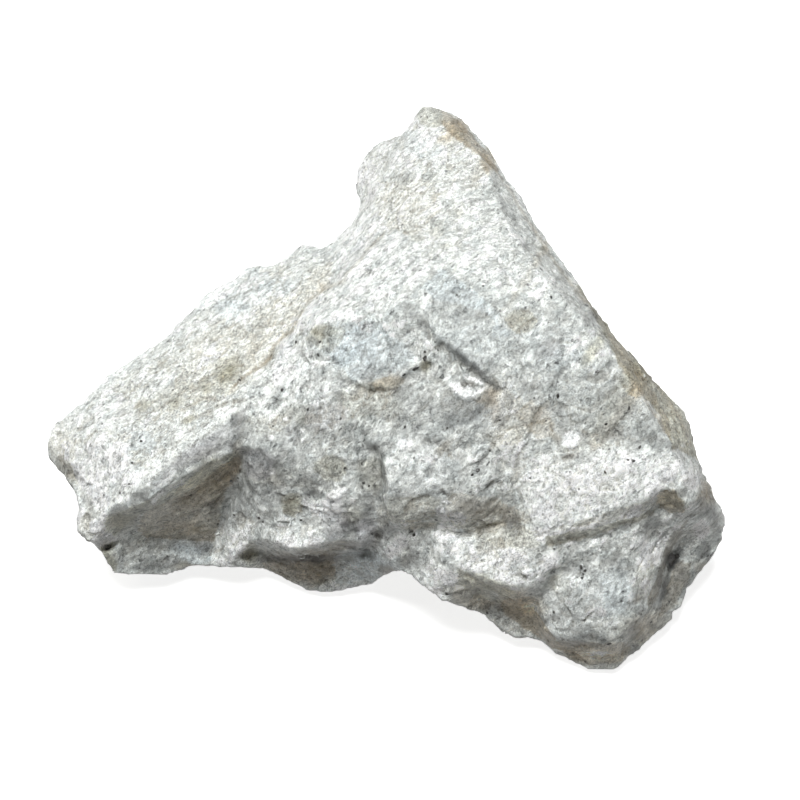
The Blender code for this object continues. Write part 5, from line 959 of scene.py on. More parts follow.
def line_distance(line, col, row, closed=False):
    """Distance to a polyline on the sheet, and how far along it (0 to 1) the nearest point is."""
    pts = np.array([(p[0], p[1]) for p in line], float)
    if closed:
        pts = np.vstack([pts, pts[:1]])
    seg = np.hypot(*np.diff(pts, axis=0).T)
    start = np.concatenate([[0], np.cumsum(seg)])
    best = np.full(col.shape, 1e9)
    along = np.zeros(col.shape)
    for k in range(len(pts) - 1):
        p, d = pts[k], pts[k + 1] - pts[k]
        t = np.clip(((col - p[0]) * d[0] + (row - p[1]) * d[1]) / max(float(d @ d), 1e-9), 0, 1)
        dist = np.hypot(col - p[0] - t * d[0], row - p[1] - t * d[1])
        near = dist < best
        best = np.where(near, dist, best)
        along = np.where(near, (start[k] + t * seg[k]) / start[-1], along)
    return best, along


def break_distance(reach=14):
    """Distance from every place on the sheet to the nearest break line or outline, up to the reach."""
    best = np.full((801, 801), float(reach))
    for line in [*BREAKS.values(), OUTLINE + OUTLINE[:1]]:
        for a, b in zip(line, line[1:]):
            lo = np.maximum(np.floor(np.minimum(a[:2], b[:2])) - reach, 0).astype(int)
            hi = np.minimum(np.ceil(np.maximum(a[:2], b[:2])) + reach, 800).astype(int)
            gx, gy = np.meshgrid(np.arange(lo[0], hi[0] + 1.0), np.arange(lo[1], hi[1] + 1.0))
            dx, dy = b[0] - a[0], b[1] - a[1]
            t = np.clip(((gx - a[0]) * dx + (gy - a[1]) * dy) / max(dx * dx + dy * dy, 1e-9), 0, 1)
            part = best[lo[1]:hi[1] + 1, lo[0]:hi[0] + 1]
            np.minimum(part, np.hypot(gx - a[0] - t * dx, gy - a[1] - t * dy), out=part)
    return best


def carve_lines(sheet, inside):
    """Narrow cracks: a V that is deepest in the middle of its length."""
    for line, width, depth in CRACKS:
        pts = np.array([(p[0], p[1]) for p in line], float)
        lo = np.maximum(np.floor(pts.min(0) - 4 * width - 3), 0).astype(int)
        hi = np.minimum(np.ceil(pts.max(0) + 4 * width + 3), 800).astype(int)
        gx, gy = np.meshgrid(np.arange(lo[0], hi[0] + 1.0), np.arange(lo[1], hi[1] + 1.0))
        wob = 1.2 * gradient_noise(np.stack([gx.ravel() / 9.0, gy.ravel() / 9.0, np.full(gx.size, depth)], 1), 31).reshape(gx.shape)
        d, along = line_distance(line, gx + wob, gy - wob)
        taper = np.clip(np.minimum(along, 1 - along) * 6.0, 0.15, 1.0)
        broken = np.clip(0.6 + 1.1 * gradient_noise(np.stack([gx.ravel() / 6.0, gy.ravel() / 6.0, np.full(gx.size, width)], 1), 35), 0.05, 1.3)
        cut = depth * taper * broken.reshape(gx.shape) * np.exp(-(d / (width * (0.5 + 0.5 * taper))) ** 2)
        part = sheet[lo[1]:hi[1] + 1, lo[0]:hi[0] + 1]
        part -= cut
    return sheet


def raise_steps(sheet):
    """Small ledges: the ground left of each line stands higher and eases back over its reach."""
    for number, (line, height, reach) in enumerate(STEPS):
        pts = np.array([(p[0], p[1]) for p in line], float)
        lo = np.maximum(np.floor(pts.min(0) - 2.5 * reach), 0).astype(int)
        hi = np.minimum(np.ceil(pts.max(0) + 2.5 * reach), 800).astype(int)
        gx, gy = np.meshgrid(np.arange(lo[0], hi[0] + 1.0), np.arange(lo[1], hi[1] + 1.0))
        wob = 1.6 * gradient_noise(np.stack([gx.ravel() / 7.0, gy.ravel() / 7.0, np.full(gx.size, 0.37 * number)], 1), 33).reshape(gx.shape)
        qx, qy = gx + wob, gy - wob
        best = np.full(gx.shape, 1e9)
        side = np.zeros(gx.shape)
        for k in range(len(pts) - 1):
            a, d = pts[k], pts[k + 1] - pts[k]
            t = np.clip(((qx - a[0]) * d[0] + (qy - a[1]) * d[1]) / max(float(d @ d), 1e-9), 0, 1)
            dx, dy = qx - a[0] - t * d[0], qy - a[1] - t * d[1]
            dist = np.hypot(dx, dy)
            near = dist < best
            best = np.where(near, dist, best)
            side = np.where(near, np.sign(d[0] * dy - d[1] * dx), side)
        _, along = line_distance(line, qx, qy)
        taper = smoothstep(0.0, 0.22, along) * smoothstep(0.0, 0.22, 1 - along)
        signed = -side * best                      # positive on the left of travel, rows downwards
        broken = np.clip(0.6 + 1.1 * gradient_noise(np.stack([gx.ravel() / 8.0, gy.ravel() / 8.0, np.full(gx.size, 0.51 * number)], 1), 36), 0.0, 1.3)
        rise = smoothstep(-0.9, 0.9, signed) * np.exp(-np.maximum(signed, 0) / reach) * broken.reshape(gx.shape)
        part = sheet[lo[1]:hi[1] + 1, lo[0]:hi[0] + 1]
        part += height * taper * rise
    return sheet


def inside_polygon(poly, col, row):
    hit = np.zeros(col.shape, bool)
    n = len(poly)
    for k in range(n):
        (x0, y0), (x1, y1) = poly[k], poly[(k + 1) % n]
        crosses = (y0 > row) != (y1 > row)
        at = x0 + (row - y0) * (x1 - x0) / ((y1 - y0) if y1 != y0 else 1e-9)
        hit ^= crosses & (col < at)
    return hit


def plane_the_faces(sheet):
    """Broken faces: the ground inside each outline is drawn towards one plane."""
    for _, _, _, flat, poly in FACES:
        if flat <= 0.0:
            continue
        pts = np.array(poly, float)
        lo = np.maximum(np.floor(pts.min(0)).astype(int) - 1, 0)
        hi = np.minimum(np.ceil(pts.max(0)).astype(int) + 1, 800)
        gx, gy = np.meshgrid(np.arange(lo[0], hi[0] + 1.0), np.arange(lo[1], hi[1] + 1.0))
        part = sheet[lo[1]:hi[1] + 1, lo[0]:hi[0] + 1]
        hit = inside_polygon(poly, gx, gy) & ~np.isnan(part)
        if hit.sum() < 12:
            continue
        a = np.stack([gx[hit], gy[hit], np.ones(int(hit.sum()))], 1)
        fit, *_ = np.linalg.lstsq(a, part[hit], rcond=None)
        away, _ = line_distance(poly, gx[hit], gy[hit], closed=True)
        pull = np.clip(a @ fit - part[hit], -0.7, 0.7)
        part[hit] += flat * pull * smoothstep(0.0, 3.0, away)
    return sheet


def granularity(col, row):
    """How granular the visible surface is, 0 for a glassy break to 1 for crust."""
    value = np.maximum(soft_patches(WEATHERED, col, row), 0.12)
    for _, _, grain, _, poly in FACES:
        hit = inside_polygon(poly, col, row)
        value[hit] += (grain - value[hit]) * 0.9
    return value


def lay_flat_faces(sheet):
    """Small crystal faces: level, and standing a little proud of the ground."""
    for poly, proud in FLAT_FACES:
        pts = np.array(poly, float)
        lo, hi = np.floor(pts.min(0)).astype(int) - 1, np.ceil(pts.max(0)).astype(int) + 1
        gx, gy = np.meshgrid(np.arange(lo[0], hi[0] + 1.0), np.arange(lo[1], hi[1] + 1.0))
        hit = inside_polygon(poly, gx, gy)
        part = sheet[lo[1]:hi[1] + 1, lo[0]:hi[0] + 1]
        if not hit.any():
            continue
        level = part[hit].mean()
        part[hit] = level + 0.35 * (part[hit] - level) + proud
    return sheet


def soft_patches(patches, col, row):
    """Strength in [0, 1] of soft patches: (column, row, half width, half height, turn, strength)."""
    total = np.zeros(len(col))
    for x, y, rx, ry, turn, strength in patches:
        a = math.radians(turn)
        dx, dy = col - x, row - y
        u = (dx * math.cos(a) - dy * math.sin(a)) / rx
        v = (dx * math.sin(a) + dy * math.cos(a)) / ry
        total = np.maximum(total, strength * (1.0 - smoothstep(0.45, 1.25, np.sqrt(u * u + v * v))))
    return total


# ---- mesh helpers ----------------------------------------------------------
def mesh_from(name, points, quads):
    mesh = bpy.data.meshes.new(name)
    mesh.vertices.add(len(points))
    mesh.vertices.foreach_set("co", np.ascontiguousarray(points, np.float32).ravel())
    mesh.loops.add(quads.size)
    mesh.loops.foreach_set("vertex_index", quads.astype(np.int32).ravel())
    mesh.polygons.add(len(quads))
    mesh.polygons.foreach_set("loop_start", np.arange(0, quads.size, quads.shape[1], dtype=np.int32))
    mesh.update(calc_edges=True)
    return mesh


def points_of(mesh):
    co = np.empty(len(mesh.vertices) * 3, np.float32)
    mesh.vertices.foreach_get("co", co)
    return co.reshape(-1, 3).astype(float)


def normals_of(mesh):
    n = np.empty(len(mesh.vertices) * 3, np.float32)
    mesh.vertex_normals.foreach_get("vector", n)
    return n.reshape(-1, 3).astype(float)


def edges_of(mesh):
    e = np.empty(len(mesh.edges) * 2, np.int32)
    mesh.edges.foreach_get("vertices", e)
    return e.reshape(-1, 2)


def applied(obj):
    """The object's mesh with its modifiers applied; the object is removed."""
    bpy.context.view_layer.update()
    graph = bpy.context.evaluated_depsgraph_get()
    made = bpy.data.meshes.new_from_object(obj.evaluated_get(graph))
    old = obj.data
    bpy.data.objects.remove(obj, do_unlink=True)
    bpy.data.meshes.remove(old)
    return made


def neighbour_mean(values, edges, count):
    total = np.empty_like(values)
    for k in range(values.shape[1]):
        total[:, k] = (np.bincount(edges[:, 0], values[edges[:, 1], k], len(values))
                       + np.bincount(edges[:, 1], values[edges[:, 0], k], len(values)))
    return total / count[:, None]


# ---- the lump --------------------------------------------------------------
def two_sided_sheet():
    """A closed mesh: the broken upper surface, the hidden back, and a rim between them."""
    sheet = sheet_of_heights()
    inside = ~np.isnan(sheet)
    crisp = blurred(sheet, inside, 1.0)
    soft = blurred(sheet, inside, 4.5)
    away = smoothstep(2.5, 13.0, break_distance())
    sheet = crisp + (soft - crisp) * away
    sheet = carve_lines(sheet, inside)
    sheet = raise_steps(sheet)
    sheet = plane_the_faces(sheet)
    sheet = lay_flat_faces(sheet)
    heights = grow_outwards(sheet.copy(), 8)
    step = 1.25
    cols = np.arange(40, 735, step)
    rows = np.arange(98, 678, step)
    gx, gy = np.meshgrid(cols, rows)
    solid = ~np.isnan(sheet[np.rint(gy).astype(int), np.rint(gx).astype(int)])
    cell = solid[:-1, :-1] & solid[1:, :-1] & solid[:-1, 1:] & solid[1:, 1:]
    used = np.zeros_like(solid)
    used[:-1, :-1] |= cell; used[1:, :-1] |= cell; used[:-1, 1:] |= cell; used[1:, 1:] |= cell
    number = np.full(solid.shape, -1)
    number[used] = np.arange(used.sum())
    j, i = np.nonzero(cell)
    front = np.stack([number[j, i], number[j + 1, i], number[j + 1, i + 1], number[j, i + 1]], 1)
    col, row = gx[used], gy[used]
    total = len(col)
    line = sight_lines(col, row)
    t_front = (sample(heights, col, row) - EYE[2]) / line[:, 2]
    inward, _ = line_distance(OUTLINE, col, row, closed=True)
    at = EYE + line * t_front[:, None]
    lumpy = 1.0 + 0.22 * wave_noise(at, 34.0, 5) + 0.10 * wave_noise(at, 13.0, 6)
    thick = EDGE_THICKNESS + ROUNDING * (1 - np.exp(-inward / ROUNDING_REACH))
    thick = thick + BACK_SLOPE * inward * np.clip(lumpy, 0.5, 1.6)
    t_back = np.minimum(t_front + thick, (-0.02 - EYE[2]) / line[:, 2])
    for point, facing in HIDDEN_FACES:
        out = line @ np.array(facing)
        leave = (np.array(point) - EYE) @ np.array(facing) / np.where(out > 1e-6, out, 1.0)
        leave = leave + 0.9 * wave_noise(at, 15.0, 7) + 0.4 * wave_noise(at, 6.0, 8)
        t_back = np.where(out > 1e-6, np.minimum(t_back, leave), t_back)
    t_back = np.maximum(t_back, t_front + 0.8 * EDGE_THICKNESS)
    points = np.vstack([at, EYE + line * t_back[:, None]])
    points[:, 2] = np.maximum(points[:, 2], -0.02)
    codes = np.concatenate([front[:, [k, (k + 1) % 4]] for k in range(4)])
    forward = codes[:, 0] * total + codes[:, 1]
    lone = ~np.isin(forward, codes[:, 1] * total + codes[:, 0])
    a, b = codes[lone, 0], codes[lone, 1]
    rim = np.stack([b, a, a + total, b + total], 1)
    quads = np.vstack([front, front[:, ::-1] + total, rim])
    return mesh_from("plate", points * MM, quads), heights


LINEATION = math.radians(46.0)                # the grain of the rock, seen from above
ALONG = np.array((math.cos(LINEATION), math.sin(LINEATION), 0.0))
ACROSS = np.array((-math.sin(LINEATION), math.cos(LINEATION), 0.0))
GRAIN_SPACE = np.stack([ALONG * 0.6, ACROSS, np.array((0.0, 0.0, 1.0))], 1)


def warped(p, size, amount, seed):
    return p + amount * np.stack([wave_noise(p, size, seed + k) for k in range(3)], 1)


def terraces(height, step, width=0.22):
    """Turns a smooth height into treads and risers."""
    k = height / step
    whole = np.floor(k)
    return step * (whole + smoothstep(0.5 - width, 0.5 + width, k - whole)) - height


def surface_relief(p, grainy):
    """Relief in mm along the normal at each point, with each crystal face's own tone."""
    q = p @ GRAIN_SPACE
    big, _, _ = facets(warped(q, 9.0, 0.9, 21), 4.6, 41, 0.11, 0.035)
    mid, _, mid_tone = facets(warped(q, 3.0, 0.3, 24), 1.9, 42, 0.13, 0.05)
    small, _, small_tone = facets(q, 0.85, 43, 0.14, 0.08)
    tread = terraces(1.6 * layered_noise(q, 8.0, 45, 4, 0.66), 0.34, 0.12)
    rough = layered_noise(p, 0.9, 51, 2, 0.6)
    pits = np.clip(layered_noise(p, 1.4, 71, 3, 0.6, ridged=True), 0, 1)
    fresh = 1.0 - grainy
    relief = (0.62 * big
              + 0.70 * mid
              + small * (0.34 + 0.62 * grainy)
              + 0.11 * tread * (0.5 + 0.5 * fresh)
              + rough * (0.012 + 0.055 * grainy)
              - 0.07 * grainy * pits)
    return relief, (mid_tone[:, 0] - 0.5) * 2.0, (small_tone[:, 1] - 0.5) * 2.0


def build_lump():
    plate, heights = two_sided_sheet()
    made = bpy.data.objects.new("plate", plate)
    bpy.context.scene.collection.objects.link(made)
    even = made.modifiers.new("even", "REMESH")
    even.mode = "VOXEL"
    even.voxel_size = BODY_VOXEL * MM
    mesh = applied(made)

    p = points_of(mesh) / MM
    n = normals_of(mesh)
    col, row, depth = onto_sheet(p)
    edge_line, _ = line_distance(OUTLINE, col, row, closed=True)
    expected = (sample(heights, col, row) - EYE[2]) / sight_lines(col, row)[:, 2]
    is_front = np.abs(depth - expected) < 1.0
    grainy = np.where(is_front, granularity(col, row), 0.35)
    smooth = np.where(is_front, flat_face_mask(col, row), 0.0)
    relief = surface_relief(p, grainy)[0] * (1.0 - smooth)
    near_edge = np.clip(edge_line / 6.0, 0.3, 1.0)
    strength = np.where(is_front, near_edge, 1.0)
    flat = smoothstep(0.5, 2.2, p[:, 2]) * 0.85 + 0.15       # calm at the resting face
    p = p + n * (relief * strength * flat)[:, None]
    p[p[:, 2] < 0.0, 2] = 0.0
    mesh.vertices.foreach_set("co", (p * MM).astype(np.float32).ravel())
    mesh.update()

    lump = bpy.data.objects.new("lump_fine", mesh)
    bpy.context.scene.collection.objects.link(lump)
    back = lump.vertex_groups.new(name="back")
    back.add([int(k) for k in np.nonzero(~is_front)[0]], 1.0, "REPLACE")
    total = sum(len(q.vertices) - 2 for q in mesh.polygons)
    back_share = float((~is_front).mean())
    keep = total * (1.0 - back_share) + BACK_TRIANGLES
    first = lump.modifiers.new("calmer_back", "DECIMATE")
    first.ratio = min(1.0, keep / total)
    first.vertex_group = "back"
    first.vertex_group_factor = 10.0
    print("triangles before", total, "back share", round(back_share, 3), "after first", int(keep))
    mesh = applied(lump)
    for wanted in (WANTED_TRIANGLES, MOST_TRIANGLES, MOST_TRIANGLES):
        count = sum(len(q.vertices) - 2 for q in mesh.polygons)
        if count <= MOST_TRIANGLES:
            break
        lump = bpy.data.objects.new("lump_fewer", mesh)
        bpy.context.scene.collection.objects.link(lump)
        fewer = lump.modifiers.new("fewer", "DECIMATE")
        fewer.ratio = wanted / count
        mesh = applied(lump)
        print("decimated", count, "to", len(mesh.polygons))
    mesh.name = "humite_surface"
    return mesh, heights


def flat_face_mask(col, row):
    mask = np.zeros(len(col))
    for poly, _ in FLAT_FACES:
        mask[inside_polygon(poly, col, row)] = 1.0
    return mask


TONES = {
    "white": (0.86, 0.885, 0.865), "cream": (0.79, 0.782, 0.715), "blue": (0.59, 0.65, 0.675), "grey": (0.50, 0.52, 0.505),
    "lilac": (0.53, 0.53, 0.545), "olive": (0.37, 0.36, 0.285), "brown": (0.32, 0.262, 0.178), "dark": (0.168, 0.148, 0.112),
}
BASE_TONE = (0.775, 0.80, 0.778)


def paint(mesh, heights):
    """Vertex attributes: colour, with painted shade and painted light worked into it, and how granular, glossy and
    hollow the surface is.
    """
    p = points_of(mesh) / MM
    n = normals_of(mesh)
    edges = edges_of(mesh)
    count = np.maximum(np.bincount(edges.ravel(), minlength=len(p)), 1)
    col, row, depth = onto_sheet(p)
    expected = (sample(heights, col, row) - EYE[2]) / sight_lines(col, row)[:, 2]
    is_front = np.abs(depth - expected) < 1.6

    smooth, hollow = p.copy(), []
    for k in range(1, 41):
        smooth = neighbour_mean(smooth, edges, count)
        if k in (3, 12, 40):
            hollow.append(((smooth - p) * n).sum(1))
    fine = np.clip(hollow[0] / 0.05, -1, 1)
    mid = np.clip(hollow[1] / 0.16, -1, 1)
    wide = np.clip(hollow[2] / 0.45, -1, 1)

    q = p @ GRAIN_SPACE
    mottled = layered_noise(q, 4.0, 101, 4, 0.55)
    cloudy = layered_noise(p, 16.0, 111, 3, 0.5)
    speckle = layered_noise(q, 0.9, 121, 3, 0.6)
    frost = layered_noise(q, 2.2, 131, 3, 0.55)
    ragged = 3.2 * gradient_noise(q / 2.2, 141) + 1.6 * gradient_noise(q / 0.9, 142)
    ragged_too = 3.2 * gradient_noise(q / 2.2, 143) + 1.6 * gradient_noise(q / 0.9, 144)
    settled = (col + 0.6 * ragged, row + 0.6 * ragged_too)
    x, y = col + ragged, row + ragged_too
    grainy = np.where(is_front, granularity(col + 0.5 * ragged, row + 0.5 * ragged_too), 0.4)

    c = np.tile(np.array(BASE_TONE), (len(p), 1))

    def mix(c, other, amount):
        return c + (np.array(other) - c) * np.clip(amount, 0, 1)[:, None]

    # the hidden sides take the same colours as the front, in clouds of their own
    for kind, share, seed in (("cream", 0.55, 151), ("blue", 0.45, 152), ("olive", 0.45, 153), ("brown", 0.35, 154)):
        cloud = smoothstep(0.05, 0.55, layered_noise(p, 13.0, seed, 3, 0.55))
        c = mix(c, TONES[kind], np.where(is_front, 0.0, cloud * share))
    # colour patches: mostly the stone's own tones; the dark ones and some grey and brown ones are partly painted shade,
    # and some white and cream ones partly painted light
    for kind, zx, zy, rx, ry, turn, strength in ZONES:
        amount = soft_patches([(zx, zy, rx, ry, turn, strength)], x, y)
        c = mix(c, TONES[kind], np.where(is_front, amount * (0.85 + 0.5 * mottled + 0.25 * speckle), 0.0))
    # faces: some dark, olive and brown ones in recesses, the shaded slot and on undersides are partly painted shade
    for number, (kind, strength, _, _, poly) in enumerate(FACES):
        hit = inside_polygon(poly, col + 0.5 * ragged, row + 0.5 * ragged_too) & is_front
        own = 1.0 + 0.05 * math.sin(2.4 * number)
        c[hit] = mix(c[hit], [v * own for v in TONES[kind]], strength * (0.9 + 0.35 * mottled[hit] + 0.15 * speckle[hit]))
    _, face_tone, crystal_tone = surface_relief(p, grainy)
    # frosty crystals and clear grey ones
    fresh = 1.0 - grainy
    c = c * (1.0 + smoothstep(0.10, 0.38, frost) * (0.13 + 0.07 * fresh))[:, None]
    c = c * (1.0 - 0.19 * smoothstep(0.08, 0.42, -frost) * (0.8 + 0.2 * fresh))[:, None]
    c = mix(c, TONES["olive"], grainy * smoothstep(0.22, 0.55, layered_noise(q, 1.6, 161, 3, 0.6)) * 0.35)
    # darker in hollows and creases: a brown mix, partly stain and partly painted shade, and in fresh stone a plain
    # darkening that is painted shade
    crevice = np.clip(0.5 * mid + 0.45 * wide + 0.45 * fine, 0, 1)
    c = mix(c, TONES["brown"], crevice * 0.40 * (0.25 + 0.75 * np.clip(1.6 * grainy - 0.2, 0.0, 1.0)))
    c = c * (1.0 - 0.20 * crevice * fresh)[:, None]
    # painted highlight: convex edges and ridges made lighter
    edge = np.clip(-(0.6 * fine + 0.5 * mid), 0, 1)
    c = c * (1.0 + 0.16 * edge)[:, None]
    # strokes: some white ones are painted highlights on rims and edges, and the wide dark one is painted shade in a
    # corner
    for kind, line, half, strength in STROKES:
        pts = np.array(line, float)
        lo, hi = pts.min(0) - 4 * half - 4, pts.max(0) + 4 * half + 4
        near = np.nonzero(is_front & (x > lo[0]) & (x < hi[0]) & (y > lo[1]) & (y < hi[1]))[0]
        if not len(near):
            continue
        d, along = line_distance(line, col[near] + 0.3 * ragged[near], row[near] + 0.3 * ragged_too[near])
        amount = strength * np.exp(-(d / (half * 1.15)) ** 2) * np.clip(0.75 + 0.9 * speckle[near], 0.2, 1.0)
        c[near] = mix(c[near], TONES[kind], amount)
    c *= (1.0 + 0.06 * speckle + 0.03 * mottled + 0.03 * cloudy + 0.055 * face_tone * (0.4 + 0.6 * fresh)
          + 0.065 * crystal_tone)[:, None]
    # painted shade and painted light: brightness factors laid over the finished colour, partly the stone's own tone
    for zx, zy, rx, ry, turn, factor in PAINTED_LIGHT_SHADE_AND_TONE:
        amount = soft_patches([(zx, zy, rx, ry, turn, 1.0)], *settled) * is_front
        c *= (1.0 + (factor - 1.0) * amount)[:, None]
    c = np.minimum(c, 0.93)

    # painted glint: the small flat crystal faces are mixed towards near white as well as made glossy
    gloss_and_painted_glint = np.where(is_front, flat_face_mask(col, row), 0.0)
    c = mix(c, (0.93, 0.935, 0.925), gloss_and_painted_glint * 0.88)
    for name, values in (("tone", np.clip(c, 0, 1)),
                         ("finish", np.stack([grainy, gloss_and_painted_glint, crevice], 1))):
        layer = mesh.attributes.new(name, "FLOAT_COLOR", "POINT")
        rgba = np.ones((len(p), 4), np.float32)
        rgba[:, :3] = values
        layer.data.foreach_set("color", rgba.ravel())


# ---- materials -------------------------------------------------------------
class Nodes:
    def __init__(self, name):
        self.mat = bpy.data.materials.new(name)
        self.mat.use_nodes = True
        self.tree = self.mat.node_tree
        self.bsdf = self.tree.nodes["Principled BSDF"]

    def add(self, kind, **settings):
        node = self.tree.nodes.new(kind)
        for key, value in settings.items():
            if key in node.inputs:
                node.inputs[key].default_value = value
            else:
                setattr(node, key, value)
        return node

    def link(self, a, b):
        self.tree.links.new(a, b)

    def math(self, op, a, b=None, clamp=False):
        node = self.add("ShaderNodeMath", operation=op, use_clamp=clamp)
        for slot, value in zip(node.inputs, (a, b)):
            if value is None:
                continue
            if isinstance(value, (int, float)):
                slot.default_value = value
            else:
                self.link(value, slot)
        return node.outputs[0]

    def vector(self, op, a, b=None, scale=None):
        node = self.add("ShaderNodeVectorMath", operation=op)
        for slot, value in zip(node.inputs, (a, b)):
            if value is None:
                continue
            if isinstance(value, tuple):
                slot.default_value = value
            else:
                self.link(value, slot)
        if scale is not None:
            if isinstance(scale, (int, float)):
                node.inputs["Scale"].default_value = scale
            else:
                self.link(scale, node.inputs["Scale"])
        return node.outputs[0]

    def mix_colour(self, factor, a, b, blend="MIX"):
        node = self.add("ShaderNodeMix", data_type="RGBA", blend_type=blend)
        for slot, value in ((node.inputs[0], factor), (node.inputs[6], a), (node.inputs[7], b)):
            if isinstance(value, (int, float)):
                slot.default_value = value
            elif isinstance(value, tuple):
                slot.default_value = (*value, 1.0)
            else:
                self.link(value, slot)
        return node.outputs[2]

    def ramp(self, value, low, high, a=0.0, b=1.0):
        node = self.add("ShaderNodeMapRange")
        node.clamp = True
        self.link(value, node.inputs[0])
        for slot, v in zip(node.inputs[1:5], (low, high, a, b)):
            slot.default_value = v
        return node.outputs[0]


def humite_material():
    m = Nodes("humite_stone")
    place = m.add("ShaderNodeTexCoord").outputs["Object"]
    place = m.vector("SCALE", place, scale=1000.0)            # millimetres
    tone = m.add("ShaderNodeAttribute", attribute_name="tone", attribute_type="GEOMETRY").outputs["Color"]
    finish = m.add("ShaderNodeAttribute", attribute_name="finish", attribute_type="GEOMETRY").outputs["Color"]
    parts = m.add("ShaderNodeSeparateColor")
    m.link(finish, parts.inputs[0])
    grainy, gloss_and_painted_glint = parts.outputs[0], parts.outputs[1]
    turned = m.add("ShaderNodeMapping", vector_type="POINT")
    turned.inputs["Rotation"].default_value = (0.0, 0.0, -LINEATION)
    m.link(place, turned.inputs["Vector"])
    warp = m.add("ShaderNodeTexNoise", Scale=0.45, Detail=2.0)
    m.link(place, warp.inputs["Vector"])
    bend = m.vector("SCALE", m.vector("SUBTRACT", warp.outputs["Color"], (0.5, 0.5, 0.5)), scale=1.6)
    laid = m.vector("MULTIPLY", m.vector("ADD", turned.outputs[0], bend), (0.6, 1.0, 1.0))

    def noise(space, scale, detail=3.0, rough=0.6, distort=0.0):
        node = m.add("ShaderNodeTexNoise", Scale=scale, Detail=detail, Roughness=rough, Distortion=distort)
        m.link(space, node.inputs["Vector"])
        return node.outputs["Fac"]

    def voronoi(space, scale):
        node = m.add("ShaderNodeTexVoronoi", feature="F1", Scale=scale)
        m.link(space, node.inputs["Vector"])
        value = m.add("ShaderNodeSeparateColor")
        m.link(node.outputs["Color"], value.inputs[0])
        return node, value

    streak = noise(laid, 1.9, 4.0, 0.68)
    patch = noise(laid, 0.62, 4.0, 0.6)
    dust = noise(place, 2.8, 3.0, 0.75)
    grit = noise(laid, 5.2, 2.0, 0.75)
    crystal, crystal_value = voronoi(laid, 1.3)
    fine_crystal, fine_value = voronoi(laid, 2.5)
    facet, facet_value = voronoi(m.vector("ADD", laid, (9.0, 4.0, 2.0)), 0.55)
    # crystals a little lighter or greyer than one another, streaks along the grain, dust
    lively = m.ramp(grainy, 0.1, 1.0, 0.84, 1.22)
    fresh = m.ramp(grainy, 0.15, 0.75, 1.0, 0.35)
    shade = m.math("ADD", m.ramp(fine_value.outputs[0], 0.0, 1.0, -0.17, 0.15),
                   m.ramp(streak, 0.34, 0.66, -0.11, 0.07))
    shade = m.math("ADD", shade, m.ramp(dust, 0.30, 0.66, -0.30, 0.22))
    shade = m.math("ADD", shade, m.ramp(grit, 0.30, 0.66, -0.42, 0.29))
    shade = m.math("MULTIPLY", shade, lively)
    facets = m.math("ADD", m.ramp(crystal_value.outputs[0], 0.0, 1.0, -0.13, 0.10),
                    m.ramp(facet_value.outputs[0], 0.0, 1.0, -0.08, 0.07))
    facets = m.math("ADD", facets, m.ramp(fine_value.outputs[1], 0.0, 1.0, -0.17, 0.13))
    # painted glint: a few crystals and fine crystals made much lighter, as cleavage faces catching the light
    facets = m.math("ADD", facets, m.ramp(crystal_value.outputs[1], 0.91, 0.93, 0.0, 0.24))    # bright cleavage
    facets = m.math("ADD", facets, m.ramp(fine_value.outputs[2], 0.89, 0.91, 0.0, 0.24))
    facets = m.math("ADD", facets, m.ramp(fine_value.outputs[2], 0.08, 0.06, 0.0, -0.26))      # clear, seen into
    shade = m.math("ADD", shade, m.math("MULTIPLY", facets, fresh))
    shade = m.math("ADD", shade, 1.0)
    shade = m.math("ADD", shade, m.ramp(patch, 0.36, 0.64, -0.10, 0.08))
    colour = m.vector("SCALE", tone, scale=shade)
    # fine strokes along the grain: frosty on glassy faces, brown and dark in the crust
    drawn = m.vector("MULTIPLY", m.vector("ADD", turned.outputs[0], bend), (0.32, 1.0, 0.7))
    frosty = m.math("MULTIPLY", m.ramp(noise(drawn, 2.1, 4.0, 0.65), 0.54, 0.66, 0.0, 1.0), m.ramp(grainy, 0.1, 1.0, 0.42, 0.28))
    colour = m.mix_colour(frosty, colour, (1.42, 1.44, 1.43), "MULTIPLY")
    drawn_shifted = m.vector("ADD", drawn, (31.0, 17.0, 5.0))
    strokes = m.math("MULTIPLY", m.ramp(noise(drawn_shifted, 2.6, 4.0, 0.7), 0.55, 0.68, 0.0, 1.0), m.ramp(grainy, 0.1, 1.0, 0.23, 0.62))
    colour = m.mix_colour(strokes, colour, (0.46, 0.43, 0.36), "MULTIPLY")
    clear = m.math("MULTIPLY", m.ramp(patch, 0.50, 0.40, 0.0, 1.0), m.ramp(grainy, 0.0, 1.0, 0.34, 0.10))
    colour = m.mix_colour(clear, colour, (0.66, 0.72, 0.75), "MULTIPLY")
    tan = m.math("MULTIPLY", m.ramp(noise(laid, 1.15, 4.0, 0.65), 0.56, 0.68, 0.0, 1.0), m.ramp(grainy, 0.0, 1.0, 0.12, 0.42))
    colour = m.mix_colour(tan, colour, (0.64, 0.59, 0.49), "MULTIPLY")
    # dark pin specks
    speck, speck_value = voronoi(place, 1.5)
    pin = m.math("MULTIPLY", m.ramp(speck.outputs["Distance"], 0.09, 0.17, 1.0, 0.0),
                 m.ramp(speck_value.outputs[0], 0.90, 0.93, 0.0, 0.7))
    colour = m.mix_colour(pin, colour, (0.12, 0.115, 0.10))
    m.link(colour, m.bsdf.inputs["Base Color"])
    # weathered grain is dull, fresh cleavage is glassy
    rough = m.ramp(crystal_value.outputs[2], 0.0, 1.0, 0.38, 0.62)
    rough = m.math("ADD", rough, m.math("MULTIPLY", grainy, 0.18))
    rough = m.math("SUBTRACT", rough, m.math("MULTIPLY", gloss_and_painted_glint, 0.34))
    rough = m.math("ADD", rough, m.ramp(dust, 0.3, 0.7, -0.05, 0.07), clamp=True)
    m.link(m.math("MAXIMUM", rough, 0.12), m.bsdf.inputs["Roughness"])
